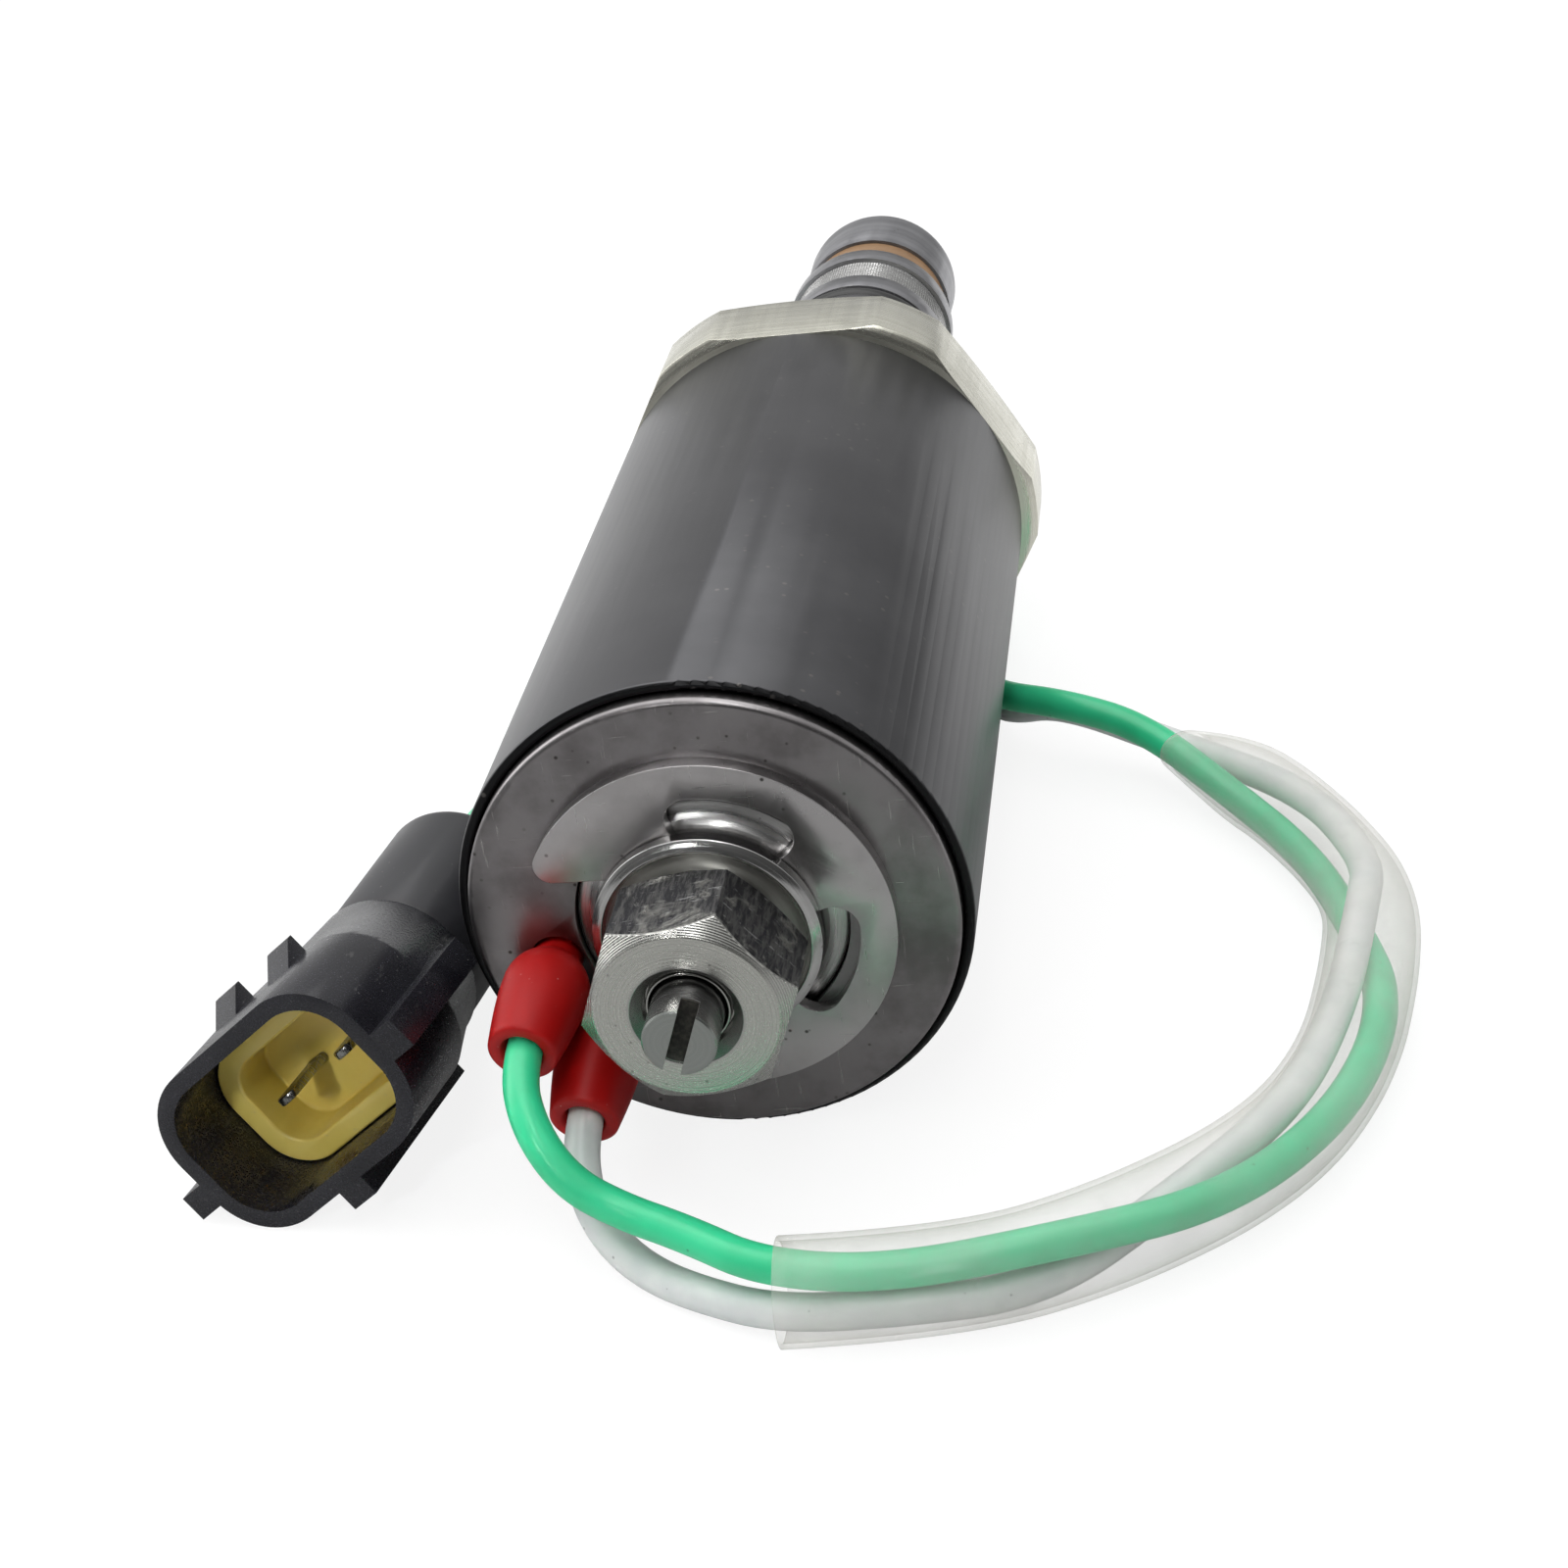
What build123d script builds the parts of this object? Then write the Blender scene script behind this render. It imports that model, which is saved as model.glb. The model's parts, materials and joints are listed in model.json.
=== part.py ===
from build123d import *
import os
from math import atan2, cos, degrees, radians, sin, tan

# Hydraulic proportional solenoid valve, screw-in cartridge type, lying on its side.
# Part frame: +Y along the valve's axis from the adjuster to the nose, +Z up, the surface it lies on at Z = 0.
# A station is a distance along the axis from the open rim of the case, positive towards the nose.

# Clearances
running = 0.06
slip = 0.1
loose = 0.3
overcut = 1.0

# Case
case_od = 36.0
case_wall = 1.6
case_length = 63.0
lip_wall = 0.75
lip_depth = 2.0
lip_round = 0.3

# End plate and its windows
plate_proud = 1.1
plate_round = 0.5
plate_hole_r = 8.8
plate_lip_length = 0.9
lead_circle_inset = 6.3
lead_window_width = 3.9
lead_window_from = 193.0
lead_window_to = 226.0

# Snap ring of crescent form that holds the coil on its tube
crescent_r = 12.9
crescent_thickness = 1.2
crescent_turn = 25.75
crescent_slot_width = 3.45
crescent_slot_centre = 46.5
crescent_slot_half = 18.0
crescent_mouth_inner = 115.0
crescent_mouth_flare = 25.75
crescent_corner = 1.3

# Guide tube
tube_r = 8.2
tube_wall = 1.05
tube_cap_length = 8.0
tube_length = 44.0
neck_r = 6.9
collar_r = 8.05
collar_length = 1.5
collar_lip = 0.6
dish_depth = 1.1
tube_seal_section = 0.5

# Adjuster plug
hex_key_af = 13.0
hex_key_turn = 8.0
hex_key_front = -12.6
hex_key_back = -3.5
hex_key_face_r = 6.15
plug_shank_r = 5.0
plug_shank_end = 4.8
plug_counterbore_r = 3.85
plug_counterbore_depth = 1.7
plug_seal_width = 1.6
plug_seal_depth = 0.9

# Adjusting screw
screw_r = 2.5
screw_tip = -14.4
screw_end = 6.0
screw_slot_width = 1.1
screw_slot_depth = 1.3
screw_slot_turn = 74.0
screw_pitch = 0.8
screw_travel = 1.0

# Spring seat and preload spring
seat_r = 4.4
seat_thickness = 1.5
seat_nipple_r = 2.2
seat_nipple_length = 1.6
preload_wire = 0.9
preload_mean_r = 3.1
preload_turns = 5.0

# Armature and pin
armature_start = 13.0
armature_end = 38.0
armature_nose_r = 6.2
armature_nose_length = 4.0
armature_pocket_depth = 4.0
armature_vent_r = 0.9
armature_vent_circle = 4.6
armature_travel = 2.0
pin_r = 2.0
pin_grip = 4.0

# Pole piece and its fittings
pole_rim_start = 37.0
pole_face = 41.0
pole_rim_wall = 0.7
joint_ring_end = 48.0
stop_washer_thickness = 0.5
bush_wall = 1.0
bush_length = 7.0
bush_start = 57.0
pole_end = 68.5

# Coil
bobbin_wall = 1.0
bobbin_flange = 1.6
bobbin_start = 2.1
bobbin_end = 59.0
wrap_wall = 1.5
terminal_r = 0.7
terminal_reach = 5.0

# Hexagon flange
hex_af = case_od
hex_corner_turned = 1.4
hex_length = 8.5
hex_far_chamfer = 1.8
hex_near_chamfer = 0.8
spigot_length = 3.8
boss_r = 12.0
boss_length = 8.0
boss_lip = 0.4
boss_groove_depth = 2.0
boss_groove_width = 2.5
boss_tip_chamfer = 0.9
boss_root_chamfer = 0.6

# Valve sleeve: stations of its lands and grooves
sleeve_tail_r = 8.8
land_r = 8.5
nose_r = 7.8
seal_groove_r = 6.75
seal_groove_width = 2.5
port_groove_r = 7.0
port_groove_width = 5.0
port_hole_r = 1.6
port_count = 4
first_seal_start = 84.5
first_port_start = 90.0
second_seal_start = 98.5
second_port_start = 104.0
nose_groove_start = 111.5
nose_groove_width = 5.0
nose_groove_r = 6.35
nose_round_start = 123.2
nose_end = 126.0
nose_end_r = 6.5
spool_bore_r = 4.0
spool_chamber_start = 111.5
spool_chamber_r = 5.2
sleeve_head_bore_r = 5.6
sleeve_head_bore_end = 72.0

# Seals on the sleeve
seal_section = 1.9
nose_seal_section = 1.7
backup_width = 3.0
backup_wall = 1.15
screen_wall = 0.25
screen_r = 8.15

# Spool, return spring, nose plug and snap ring
spool_start = 72.0
spool_neck_r = 2.7
spool_neck_start = 89.5
spool_neck_end = 99.0
spool_end = 111.8
spool_tail_r = 2.1
spool_tail_length = 5.5
notch_r = 0.8
notch_depth = 2.2
spring_washer_thickness = 1.0
return_wire = 0.8
return_mean_r = 3.7
return_turns = 4.2
nose_plug_start = 121.5
nose_plug_bore_r = 2.0
snap_ring_start = 125.0
snap_ring_thickness = 0.7
snap_ring_depth = 0.45
snap_ring_width = 1.2
snap_ring_gap = 40.0

# Red lead boots: angle at the window, then the mouth's angle, its spread from the window's circle and its station
boot_neck_r = 1.75
boot_bulb_r = 3.05
boot_mouth_r = 2.45
boot_root_station = 1.6
boot_bore_depth = 5.0
boot_pin_bore_r = 0.75
green_boot_angle = 193.0
green_mouth_angle = 198.7
green_mouth_spread = 1.4
green_mouth_station = -10.0
white_boot_angle = 222.0
white_mouth_angle = 228.2
white_mouth_spread = 2.25
white_mouth_station = -9.5

# Leads and their clear sleeve
wire_d = 2.5
sleeve_d = 7.2
sleeve_tube_wall = 0.4

# Connector: place of its mouth, how it lies, and its sections
mouth_x = -30.3
mouth_station = -10.0
mouth_z = 9.6
connector_yaw = 7.0
connector_pitch = 6.5
connector_roll = 38.0
shroud_length = 20.0
shroud_height = 13.7
shroud_corner = 5.2
shroud_wall = 1.3
shroud_inner_corner = 3.9
shroud_straight = 9.0
shroud_taper_end = 20.0
shroud_depth = 12.0
shroud_rear_r = 6.6
shroud_spigot_r = 4.8
shroud_spigot_length = 3.5
shroud_bore_r = 3.6
rail_length = 15.0
rail_height = 2.1
rail_width = 2.4
rail_offset = -0.9
key_length = 2.8
key_height = 2.0
key_width = 2.1
key_offset = -1.15
rib_length = 17.0
rib_height = 1.6
rib_width = 2.4
rib_offset = -0.3
fin_start = 6.1
fin_ramp = 2.4
fin_top = 0.5
fin_height = 1.5
fin_width = 2.4
fin_pitch = 6.2
insert_rim = 6.5
insert_floor = 10.7
insert_wall = 1.7
pin_pitch = 6.5
blade_width = 1.8
blade_thickness = 0.64
blade_tip = 4.9
rubber_boot_r = 6.4
rubber_boot_length = 15.0
rubber_boot_yaw = 9.0
rubber_boot_round = 1.6
rubber_boot_wall = 1.1
rubber_boot_overlap = 0.8
grommet_r = 4.4
grommet_length = 4.0
grommet_hole_pitch = 4.4

# Derived places
case_r = case_od / 2
case_bore_r = case_r - case_wall
axis_z = case_r
datum_y = -(screw_tip + nose_end) / 2
plate_r = case_r - lip_wall - slip
lead_circle_r = case_r - lead_circle_inset
wrap_r = case_bore_r - loose
winding_r = wrap_r - wrap_wall
hex_corner_r = hex_af / 2 + hex_corner_turned
hex_end = case_length + hex_length
hex_far_face_r = hex_corner_r - hex_far_chamfer
hex_near_face_r = hex_corner_r - hex_near_chamfer
boss_groove_r = boss_r - boss_groove_depth
plate_front = -plate_proud
crescent_front = plate_front - crescent_thickness
collar_back = crescent_front - slip
collar_front = collar_back - collar_length
tube_bore_r = tube_r - tube_wall
bush_r = pin_r + running + bush_wall
boss_start = hex_end
boss_end = boss_start + boss_length
bobbin_core_r = tube_r + slip
seat_start = screw_end
seat_face = seat_start + seat_thickness
spring_washer_face = spool_end + spring_washer_thickness

os.makedirs("parts", exist_ok=True)


def turned(*points):
    """Closed profile of (radius, station) points turned about the valve's axis."""
    return revolve(make_face(Polyline(*points, close=True)), Axis.Y)


def ring(inner_r, outer_r, start, end):
    """Plain ring between two stations."""
    return turned((inner_r, start), (outer_r, start), (outer_r, end), (inner_r, end))


def rod(r, start, end):
    """Plain rod between two stations."""
    return turned((0, start), (r, start), (r, end), (0, end))


def slab(sketch, start, end):
    """Sketch drawn as seen from the adjuster's side, made solid between two stations."""
    return Pos(0, end, 0) * extrude(Plane.XZ * sketch, end - start)


def seal(centre_r, section, station):
    """O-ring of round section."""
    face = make_face(Pos(centre_r, station) * Circle(section / 2).edge())
    return revolve(face, Axis.Y)


def coil_spring(mean_r, wire, start, end, turns):
    """Round-wire compression spring that touches its two seats."""
    height = end - start - wire
    helix = Helix(pitch=height / turns, height=height, radius=mean_r)
    section = Plane(origin=helix @ 0, z_dir=helix % 0) * Circle(wire / 2)
    spring = sweep(section, path=helix, is_frenet=True)
    return Pos(0, start + wire / 2, 0) * Rot(-90, 0, 0) * spring


def polar(r, angle):
    """Point at a radius and an angle, seen from the adjuster's side."""
    return (r * cos(radians(angle)), r * sin(radians(angle)))


def on_axis(solid):
    """Moves a solid from the axis' own frame to the part's frame."""
    return Pos(0, datum_y, axis_z) * solid


def save(solid, node):
    """Writes one node."""
    export_step(solid, f"parts/{node}.step")
    return solid


# Case: a drawn steel can, thinned at the rim to take the end plate
def make_case():
    body = turned(
        (case_r - lip_wall, 0),
        (case_r, 0),
        (case_r, case_length),
        (case_bore_r, case_length),
        (case_bore_r, lip_depth),
        (case_r - lip_wall, lip_depth),
    )
    rim = body.edges().filter_by(GeomType.CIRCLE).filter_by_position(Axis.Y, -0.01, 0.01)
    return fillet(rim, lip_round)


# End plate: proud of the rim, with the tube's hole and a curved window for the two leads
def make_end_plate():
    plate = ring(tube_r + 2 * slip, plate_r, plate_front, lip_depth)
    plate -= rod(plate_hole_r, plate_front + plate_lip_length, lip_depth)
    front = plate.edges().filter_by(GeomType.CIRCLE).group_by(Axis.Y)[0].sort_by(SortBy.RADIUS)
    plate = fillet(front[-1], plate_round)
    front = plate.edges().filter_by(GeomType.CIRCLE).group_by(Axis.Y)[0].sort_by(SortBy.RADIUS)
    plate = chamfer(front[0], slip)
    arc = CenterArc((0, 0), lead_circle_r, lead_window_from, lead_window_to - lead_window_from)
    window = slab(SlotArc(arc, lead_window_width), plate_front - overcut, lip_depth + overcut)
    return plate - window


# Crescent ring: three prongs bear on the neck, with two rounded slots and an open mouth between them
def make_crescent():
    ring_face = Circle(crescent_r) - Circle(neck_r + running)
    slot_r = neck_r + crescent_slot_width / 2
    for side in (1, -1):
        start = side * crescent_slot_centre - crescent_slot_half
        ring_face -= SlotArc(CenterArc((0, 0), slot_r, start, 2 * crescent_slot_half), crescent_slot_width)
    inner = Vector(*polar(neck_r, crescent_mouth_inner))
    reach = 2 * crescent_r
    flare = radians(180 - crescent_mouth_flare)
    outer = inner + Vector(reach * cos(flare), reach * sin(flare))
    mouth = make_face(Polyline(
        (inner.X, inner.Y), (outer.X, outer.Y), (outer.X, -outer.Y), (inner.X, -inner.Y), close=True,
    ))
    ring_face -= mouth
    corners = ring_face.vertices().sort_by(SortBy.DISTANCE)[-2:]
    ring_face = fillet(corners, crescent_corner)
    return slab(Rot(0, 0, crescent_turn) * ring_face, crescent_front, plate_front)


# Guide tube: thin wall round the armature, thick threaded head, a neck for the crescent and a dished collar
def make_guide_tube():
    lip_r = collar_r - collar_lip
    dish_r = plug_shank_r + slip
    dish_floor = collar_front + dish_depth
    with BuildSketch() as profile:
        with BuildLine():
            Polyline(
                (dish_r, dish_floor),
                (dish_r, tube_cap_length),
                (tube_bore_r, tube_cap_length),
                (tube_bore_r, tube_length),
                (tube_r, tube_length),
                (tube_r, plate_front),
                (neck_r, plate_front),
                (neck_r, collar_back),
                (collar_r, collar_back),
                (collar_r, collar_front),
                (lip_r, collar_front),
            )
            middle_r = (lip_r + dish_r) / 2
            ThreePointArc((lip_r, collar_front), (middle_r, dish_floor - 0.15), (dish_r, dish_floor))
        make_face()
    return revolve(profile.sketch, Axis.Y)


# Adjuster plug: turned hexagon with a counterbore, and a shank with a seal groove
def make_adjuster_plug():
    corner_r = hex_key_af / 2 / cos(radians(30))
    fall = (corner_r - hex_key_face_r) * tan(radians(30))
    hexagon = Rot(0, 0, hex_key_turn) * RegularPolygon(corner_r, 6)
    blank = turned(
        (0, hex_key_front),
        (hex_key_face_r, hex_key_front),
        (corner_r + slip, hex_key_front + fall),
        (corner_r + slip, hex_key_back - fall),
        (hex_key_face_r, hex_key_back),
        (0, hex_key_back),
    )
    head = slab(hexagon, hex_key_front, hex_key_back) & blank
    head -= rod(plug_counterbore_r, hex_key_front, hex_key_front + plug_counterbore_depth)
    groove_r = plug_shank_r - plug_seal_depth
    groove_end = plug_shank_end - plug_seal_width
    groove_start = groove_end - plug_seal_width
    shank = turned(
        (0, hex_key_back),
        (plug_shank_r, hex_key_back),
        (plug_shank_r, groove_start),
        (groove_r, groove_start),
        (groove_r, groove_end),
        (plug_shank_r, groove_end),
        (plug_shank_r, plug_shank_end),
        (0, plug_shank_end),
    )
    return head + shank - rod(screw_r + running, hex_key_front, plug_shank_end)


# Adjusting screw: rounded end with a driver slot
def make_adjusting_screw():
    screw = rod(screw_r, screw_tip, screw_end)
    rim = screw.edges().filter_by(GeomType.CIRCLE).group_by(Axis.Y)[0]
    screw = chamfer(rim, 0.25)
    slot = Rot(0, 0, screw_slot_turn) * Rectangle(3 * screw_r, screw_slot_width)
    return screw - slab(slot, screw_tip - overcut, screw_tip + screw_slot_depth)


# Spring seat: follows the screw and centres the preload spring
def make_spring_seat():
    return turned(
        (0, seat_start),
        (seat_r, seat_start),
        (seat_r, seat_face),
        (seat_nipple_r, seat_face),
        (seat_nipple_r, seat_face + seat_nipple_length),
        (0, seat_face + seat_nipple_length),
    )


# Armature: spring pocket behind, stepped nose in front, vents right through
def make_armature():
    body_r = tube_bore_r - running
    pocket_r = preload_mean_r + preload_wire / 2 + loose
    step = armature_end - armature_nose_length
    body = turned(
        (0, armature_start),
        (body_r - 0.4, armature_start),
        (body_r, armature_start + 0.4),
        (body_r, step),
        (armature_nose_r, step),
        (armature_nose_r, armature_end),
        (0, armature_end),
    )
    body -= rod(pocket_r, armature_start, armature_start + armature_pocket_depth)
    body -= rod(pin_r, armature_end - pin_grip, armature_end)
    for location in PolarLocations(armature_vent_circle, 4, start_angle=45):
        body -= slab(location * Circle(armature_vent_r), armature_start, armature_end)
    return body


# Pole piece: cone-backed control rim round the armature's nose, then the flux path into the flange
def make_pole_piece():
    rim_r = tube_bore_r - slip
    pole_r = tube_r
    body = turned(
        (rim_r - pole_rim_wall, pole_rim_start),
        (rim_r - pole_rim_wall / 2, pole_rim_start),
        (rim_r, pole_face),
        (rim_r, joint_ring_end),
        (pole_r, joint_ring_end),
        (pole_r, pole_end),
        (pin_r + slip, pole_end),
        (pin_r + slip, pole_face),
        (rim_r - pole_rim_wall, pole_face),
    )
    return body - rod(bush_r, bush_start, bush_start + bush_length)


# Bobbin: a thin core between two cheeks
def make_bobbin():
    core_r = bobbin_core_r + bobbin_wall
    return turned(
        (bobbin_core_r, bobbin_start),
        (wrap_r, bobbin_start),
        (wrap_r, bobbin_start + bobbin_flange),
        (core_r, bobbin_start + bobbin_flange),
        (core_r, bobbin_end - bobbin_flange),
        (wrap_r, bobbin_end - bobbin_flange),
        (wrap_r, bobbin_end),
        (bobbin_core_r, bobbin_end),
    )


# Hexagon flange: corners turned round, far edge chamfered, spigot in the case and threaded boss ahead
def make_flange_hex():
    corner_r = hex_af / 2 / cos(radians(30))
    hexagon = RegularPolygon(corner_r, 6)
    blank = turned(
        (0, case_length),
        (hex_near_face_r, case_length),
        (hex_corner_r, case_length + hex_near_chamfer * tan(radians(30))),
        (hex_corner_r, hex_end - hex_far_chamfer * tan(radians(30))),
        (hex_far_face_r, hex_end),
        (0, hex_end),
    )
    head = slab(hexagon, case_length, hex_end) & blank
    spigot = rod(case_bore_r - slip, case_length - spigot_length, case_length)
    groove_start = boss_start + boss_lip
    groove_end = groove_start + boss_groove_width
    boss = turned(
        (0, boss_start),
        (boss_r, boss_start),
        (boss_r, groove_start),
        (boss_groove_r, groove_start),
        (boss_groove_r, groove_end),
        (boss_r - boss_root_chamfer, groove_end),
        (boss_r, groove_end + boss_root_chamfer),
        (boss_r, boss_end - boss_tip_chamfer),
        (boss_r - boss_tip_chamfer, boss_end),
        (0, boss_end),
    )
    body = head + spigot + boss
    body -= rod(tube_r, case_length - spigot_length, pole_end)
    return body - rod(sleeve_tail_r, pole_end, boss_end)


# Valve sleeve: lands, seal grooves, two ported grooves and a rounded nose
def make_valve_sleeve():
    points = [(spool_bore_r, pole_end), (sleeve_tail_r, pole_end), (sleeve_tail_r, boss_end), (land_r, boss_end)]
    for start, width, floor_r in (
        (first_seal_start, seal_groove_width, seal_groove_r),
        (first_port_start, port_groove_width, port_groove_r),
        (second_seal_start, seal_groove_width, seal_groove_r),
        (second_port_start, port_groove_width, port_groove_r),
    ):
        points += [(land_r, start), (floor_r, start), (floor_r, start + width), (land_r, start + width)]
    groove_end = nose_groove_start + nose_groove_width
    points += [(land_r, nose_groove_start), (nose_groove_r, nose_groove_start)]
    points += [(nose_groove_r, groove_end), (nose_r, groove_end), (nose_r, nose_round_start)]
    with BuildSketch() as profile:
        with BuildLine():
            Polyline(*points)
            lean = radians(45)
            drop, rise = nose_r - nose_end_r, nose_end - nose_round_start
            shoulder = (nose_end_r + drop * cos(lean), nose_round_start + rise * sin(lean))
            ThreePointArc((nose_r, nose_round_start), shoulder, (nose_end_r, nose_end))
            Polyline((nose_end_r, nose_end), (spool_bore_r, nose_end), (spool_bore_r, pole_end))
        make_face()
    body = revolve(profile.sketch, Axis.Y)
    body -= rod(sleeve_head_bore_r, pole_end, sleeve_head_bore_end)
    body -= rod(spool_chamber_r, spool_chamber_start, nose_end)
    groove_r = spool_chamber_r + snap_ring_depth
    body -= ring(spool_bore_r, groove_r, snap_ring_start, snap_ring_start + snap_ring_thickness + slip / 2)
    for start in (first_port_start, second_port_start):
        station = start + port_groove_width / 2
        for index in range(port_count):
            hole = extrude(Plane.XY * Circle(port_hole_r), land_r)
            body -= Pos(0, station, 0) * Rot(0, 45 + index * 360 / port_count, 0) * hole
    return body


# Spool: two lands with a neck between them, metering notches and a tail that centres the return spring
def make_spool():
    land = spool_bore_r - running
    tail_end = spool_end + spool_tail_length
    body = turned(
        (0, spool_start),
        (land, spool_start),
        (land, spool_neck_start),
        (spool_neck_r, spool_neck_start),
        (spool_neck_r, spool_neck_end),
        (land, spool_neck_end),
        (land, spool_end),
        (spool_tail_r, spool_end),
        (spool_tail_r, tail_end),
        (0, tail_end),
    )
    for location in PolarLocations(land, 4):
        notch = slab(location * Circle(notch_r), spool_neck_end, spool_neck_end + notch_depth)
        body -= notch
    return body


# Nose plug and the snap ring that keeps it in
def make_snap_ring():
    outer = spool_chamber_r + snap_ring_depth - slip / 2
    face = Circle(outer) - Circle(outer - snap_ring_width)
    reach = 2 * outer
    half = radians(snap_ring_gap / 2)
    face -= make_face(Polyline(
        (0, 0), (reach * cos(half), reach * sin(half)), (reach * cos(half), -reach * sin(half)), close=True,
    ))
    return slab(Rot(0, 0, -90) * face, snap_ring_start, snap_ring_start + snap_ring_thickness)


# Red boots: soft bulbs in front of the plate, from the window to their mouths
def boot_axis(angle, mouth_angle, spread, station):
    """Plane at a boot's mouth, in the axis' frame, whose normal points out of the mouth, and the boot's length."""
    x, z = polar(lead_circle_r, angle)
    root = Vector(x, (plate_front + lip_depth) / 2, z)
    x, z = polar(lead_circle_r + spread, mouth_angle)
    end = Vector(x, station, z)
    out = (end - root).normalized()
    length = (boot_root_station - station) / abs(out.Y)
    return Plane(origin=end, z_dir=out), length


def make_boot(angle, mouth_angle, spread, station):
    """Soft boot: a tapered bulb with a domed back that ends at the plate, and a neck that goes through the window."""
    plane, length = boot_axis(angle, mouth_angle, spread, station)
    dome_length = (boot_bulb_r**2 - boot_neck_r**2) ** 0.5
    neck = loose - length * (plate_front - station) / (boot_root_station - station)
    bulb_depth = -neck - dome_length
    half = radians(45)
    with BuildSketch(Plane.XZ) as profile:
        with BuildLine():
            Polyline((0, 0), (boot_mouth_r, 0), (boot_bulb_r, -bulb_depth))
            ThreePointArc(
                (boot_bulb_r, -bulb_depth),
                (boot_bulb_r * cos(half / 2), -bulb_depth - boot_bulb_r * sin(half / 2)),
                (boot_neck_r, neck),
            )
            Polyline((boot_neck_r, neck), (boot_neck_r, -length), (0, -length), (0, 0))
        make_face()
    body = revolve(profile.sketch, Axis.Z)
    from_mouth = (Align.CENTER, Align.CENTER, Align.MAX)
    body -= Cylinder(wire_d / 2, boot_bore_depth, align=from_mouth)
    body -= Cylinder(boot_pin_bore_r, length, align=from_mouth)
    return plane.location * body


# Coil terminals: straight pins from the bobbin's cheek into the boots
def make_terminal(*place):
    plane, length = boot_axis(*place)
    pin = Cylinder(terminal_r, terminal_reach, align=(Align.CENTER, Align.CENTER, Align.MIN))
    return plane.location * Pos(0, 0, -length) * pin


# Leads: routes chosen by hand, and the tube each makes
green_route = [
    (-12.14, -62.86, 14.35),
    (-12.52, -67.17, 13.54),
    (-11.34, -70.76, 11.29),
    (-8.88, -72.75, 8.23),
    (-5.42, -73.26, 6.08),
    (-1.00, -74.93, 5.46),
    (4.58, -78.30, 5.17),
    (12.74, -78.50, 4.59),
    (23.48, -75.86, 4.78),
    (33.89, -71.02, 3.66),
    (41.76, -61.07, 2.92),
    (45.64, -48.88, 3.10),
    (43.56, -37.31, 2.47),
    (40.61, -27.56, 2.64),
    (34.80, -17.80, 2.94),
    (28.06, -10.79, 5.53),
    (21.55, -8.45, 6.94),
    (14.90, -3.70, 5.75),
    (13.85, 2.60, 4.40),
    (14.10, 10.00, 3.66),
    (14.20, 18.20, 3.75),
    (11.30, 28.41, 2.25),
    (2.08, 32.58, 1.45),
    (-8.04, 33.49, 1.31),
    (-17.93, 29.99, 1.30),
    (-23.94, 21.97, 1.30),
    (-26.07, 9.90, 1.28),
    (-27.62, -3.82, 1.41),
    (-28.26, -14.03, 3.14),
    (-26.76, -25.00, 7.34),
    (-28.17, -33.88, 7.34),
]
white_route = [
    (-9.12, -62.40, 8.35),
    (-9.38, -66.65, 7.25),
    (-8.85, -69.74, 4.82),
    (-7.12, -71.82, 2.54),
    (-4.51, -73.64, 1.28),
    (-1.03, -75.86, 1.29),
    (4.84, -78.78, 1.80),
    (12.29, -79.02, 2.20),
    (22.18, -76.86, 1.63),
    (30.30, -69.45, 2.73),
    (38.00, -62.73, 4.63),
    (42.02, -50.89, 4.07),
    (44.34, -39.33, 5.64),
    (45.14, -32.25, 4.71),
    (40.93, -20.33, 4.19),
    (30.17, -9.35, 3.05),
    (20.89, -5.31, 5.40),
    (15.85, -1.60, 2.85),
    (13.70, 4.90, 1.32),
    (12.80, 11.40, 1.30),
    (12.75, 18.60, 1.35),
    (7.28, 25.39, 2.32),
    (0.51, 29.51, 1.36),
    (-8.00, 29.37, 1.28),
    (-15.55, 25.04, 1.30),
    (-19.98, 17.53, 1.30),
    (-22.04, 5.94, 1.28),
    (-23.40, -6.80, 1.41),
    (-23.51, -15.10, 3.14),
    (-22.42, -25.68, 7.34),
    (-23.83, -34.57, 7.34),
]
sleeve_route = [
    (5.51, -78.81, 3.62),
    (16.48, -78.35, 3.62),
    (26.48, -74.31, 3.62),
    (36.90, -66.58, 3.62),
    (42.20, -56.85, 3.62),
    (44.52, -44.71, 3.62),
    (45.08, -35.95, 3.62),
    (42.26, -27.64, 3.62),
    (36.98, -17.88, 3.62),
    (31.51, -12.14, 3.62),
]


def cord_path(route, name):
    """Straight runs joined by tangent arcs, each as large as its two runs allow."""
    points = [Vector(*point) for point in route]
    radii = []
    for before, here, after in zip(points, points[1:], points[2:]):
        turn = (here - before).get_angle(after - here)
        run = min((here - before).length, (after - here).length)
        radii.append(0.45 * run / tan(radians(turn / 2)))
    path = FilletPolyline(*points, radius=radii)
    print(name, "length", round(path.length, 1), "least radius", round(min(radii), 1))
    print(name, "radii", [round(radius, 1) for radius in radii])
    return path


def cord(route, name, outer_r, inner_r=0.0):
    """Round tube along a route, hollow where an inner radius is given."""
    path = cord_path(route, name)
    section = Plane(origin=path @ 0, z_dir=path % 0)
    solid = sweep(section * Circle(outer_r), path=path)
    if inner_r:
        solid -= sweep(section * Circle(inner_r), path=path)
    area = 3.14159265 * (outer_r**2 - inner_r**2)
    print(name, "volume", round(solid.volume, 1), "section times length", round(area * path.length, 1))
    return solid


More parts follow.
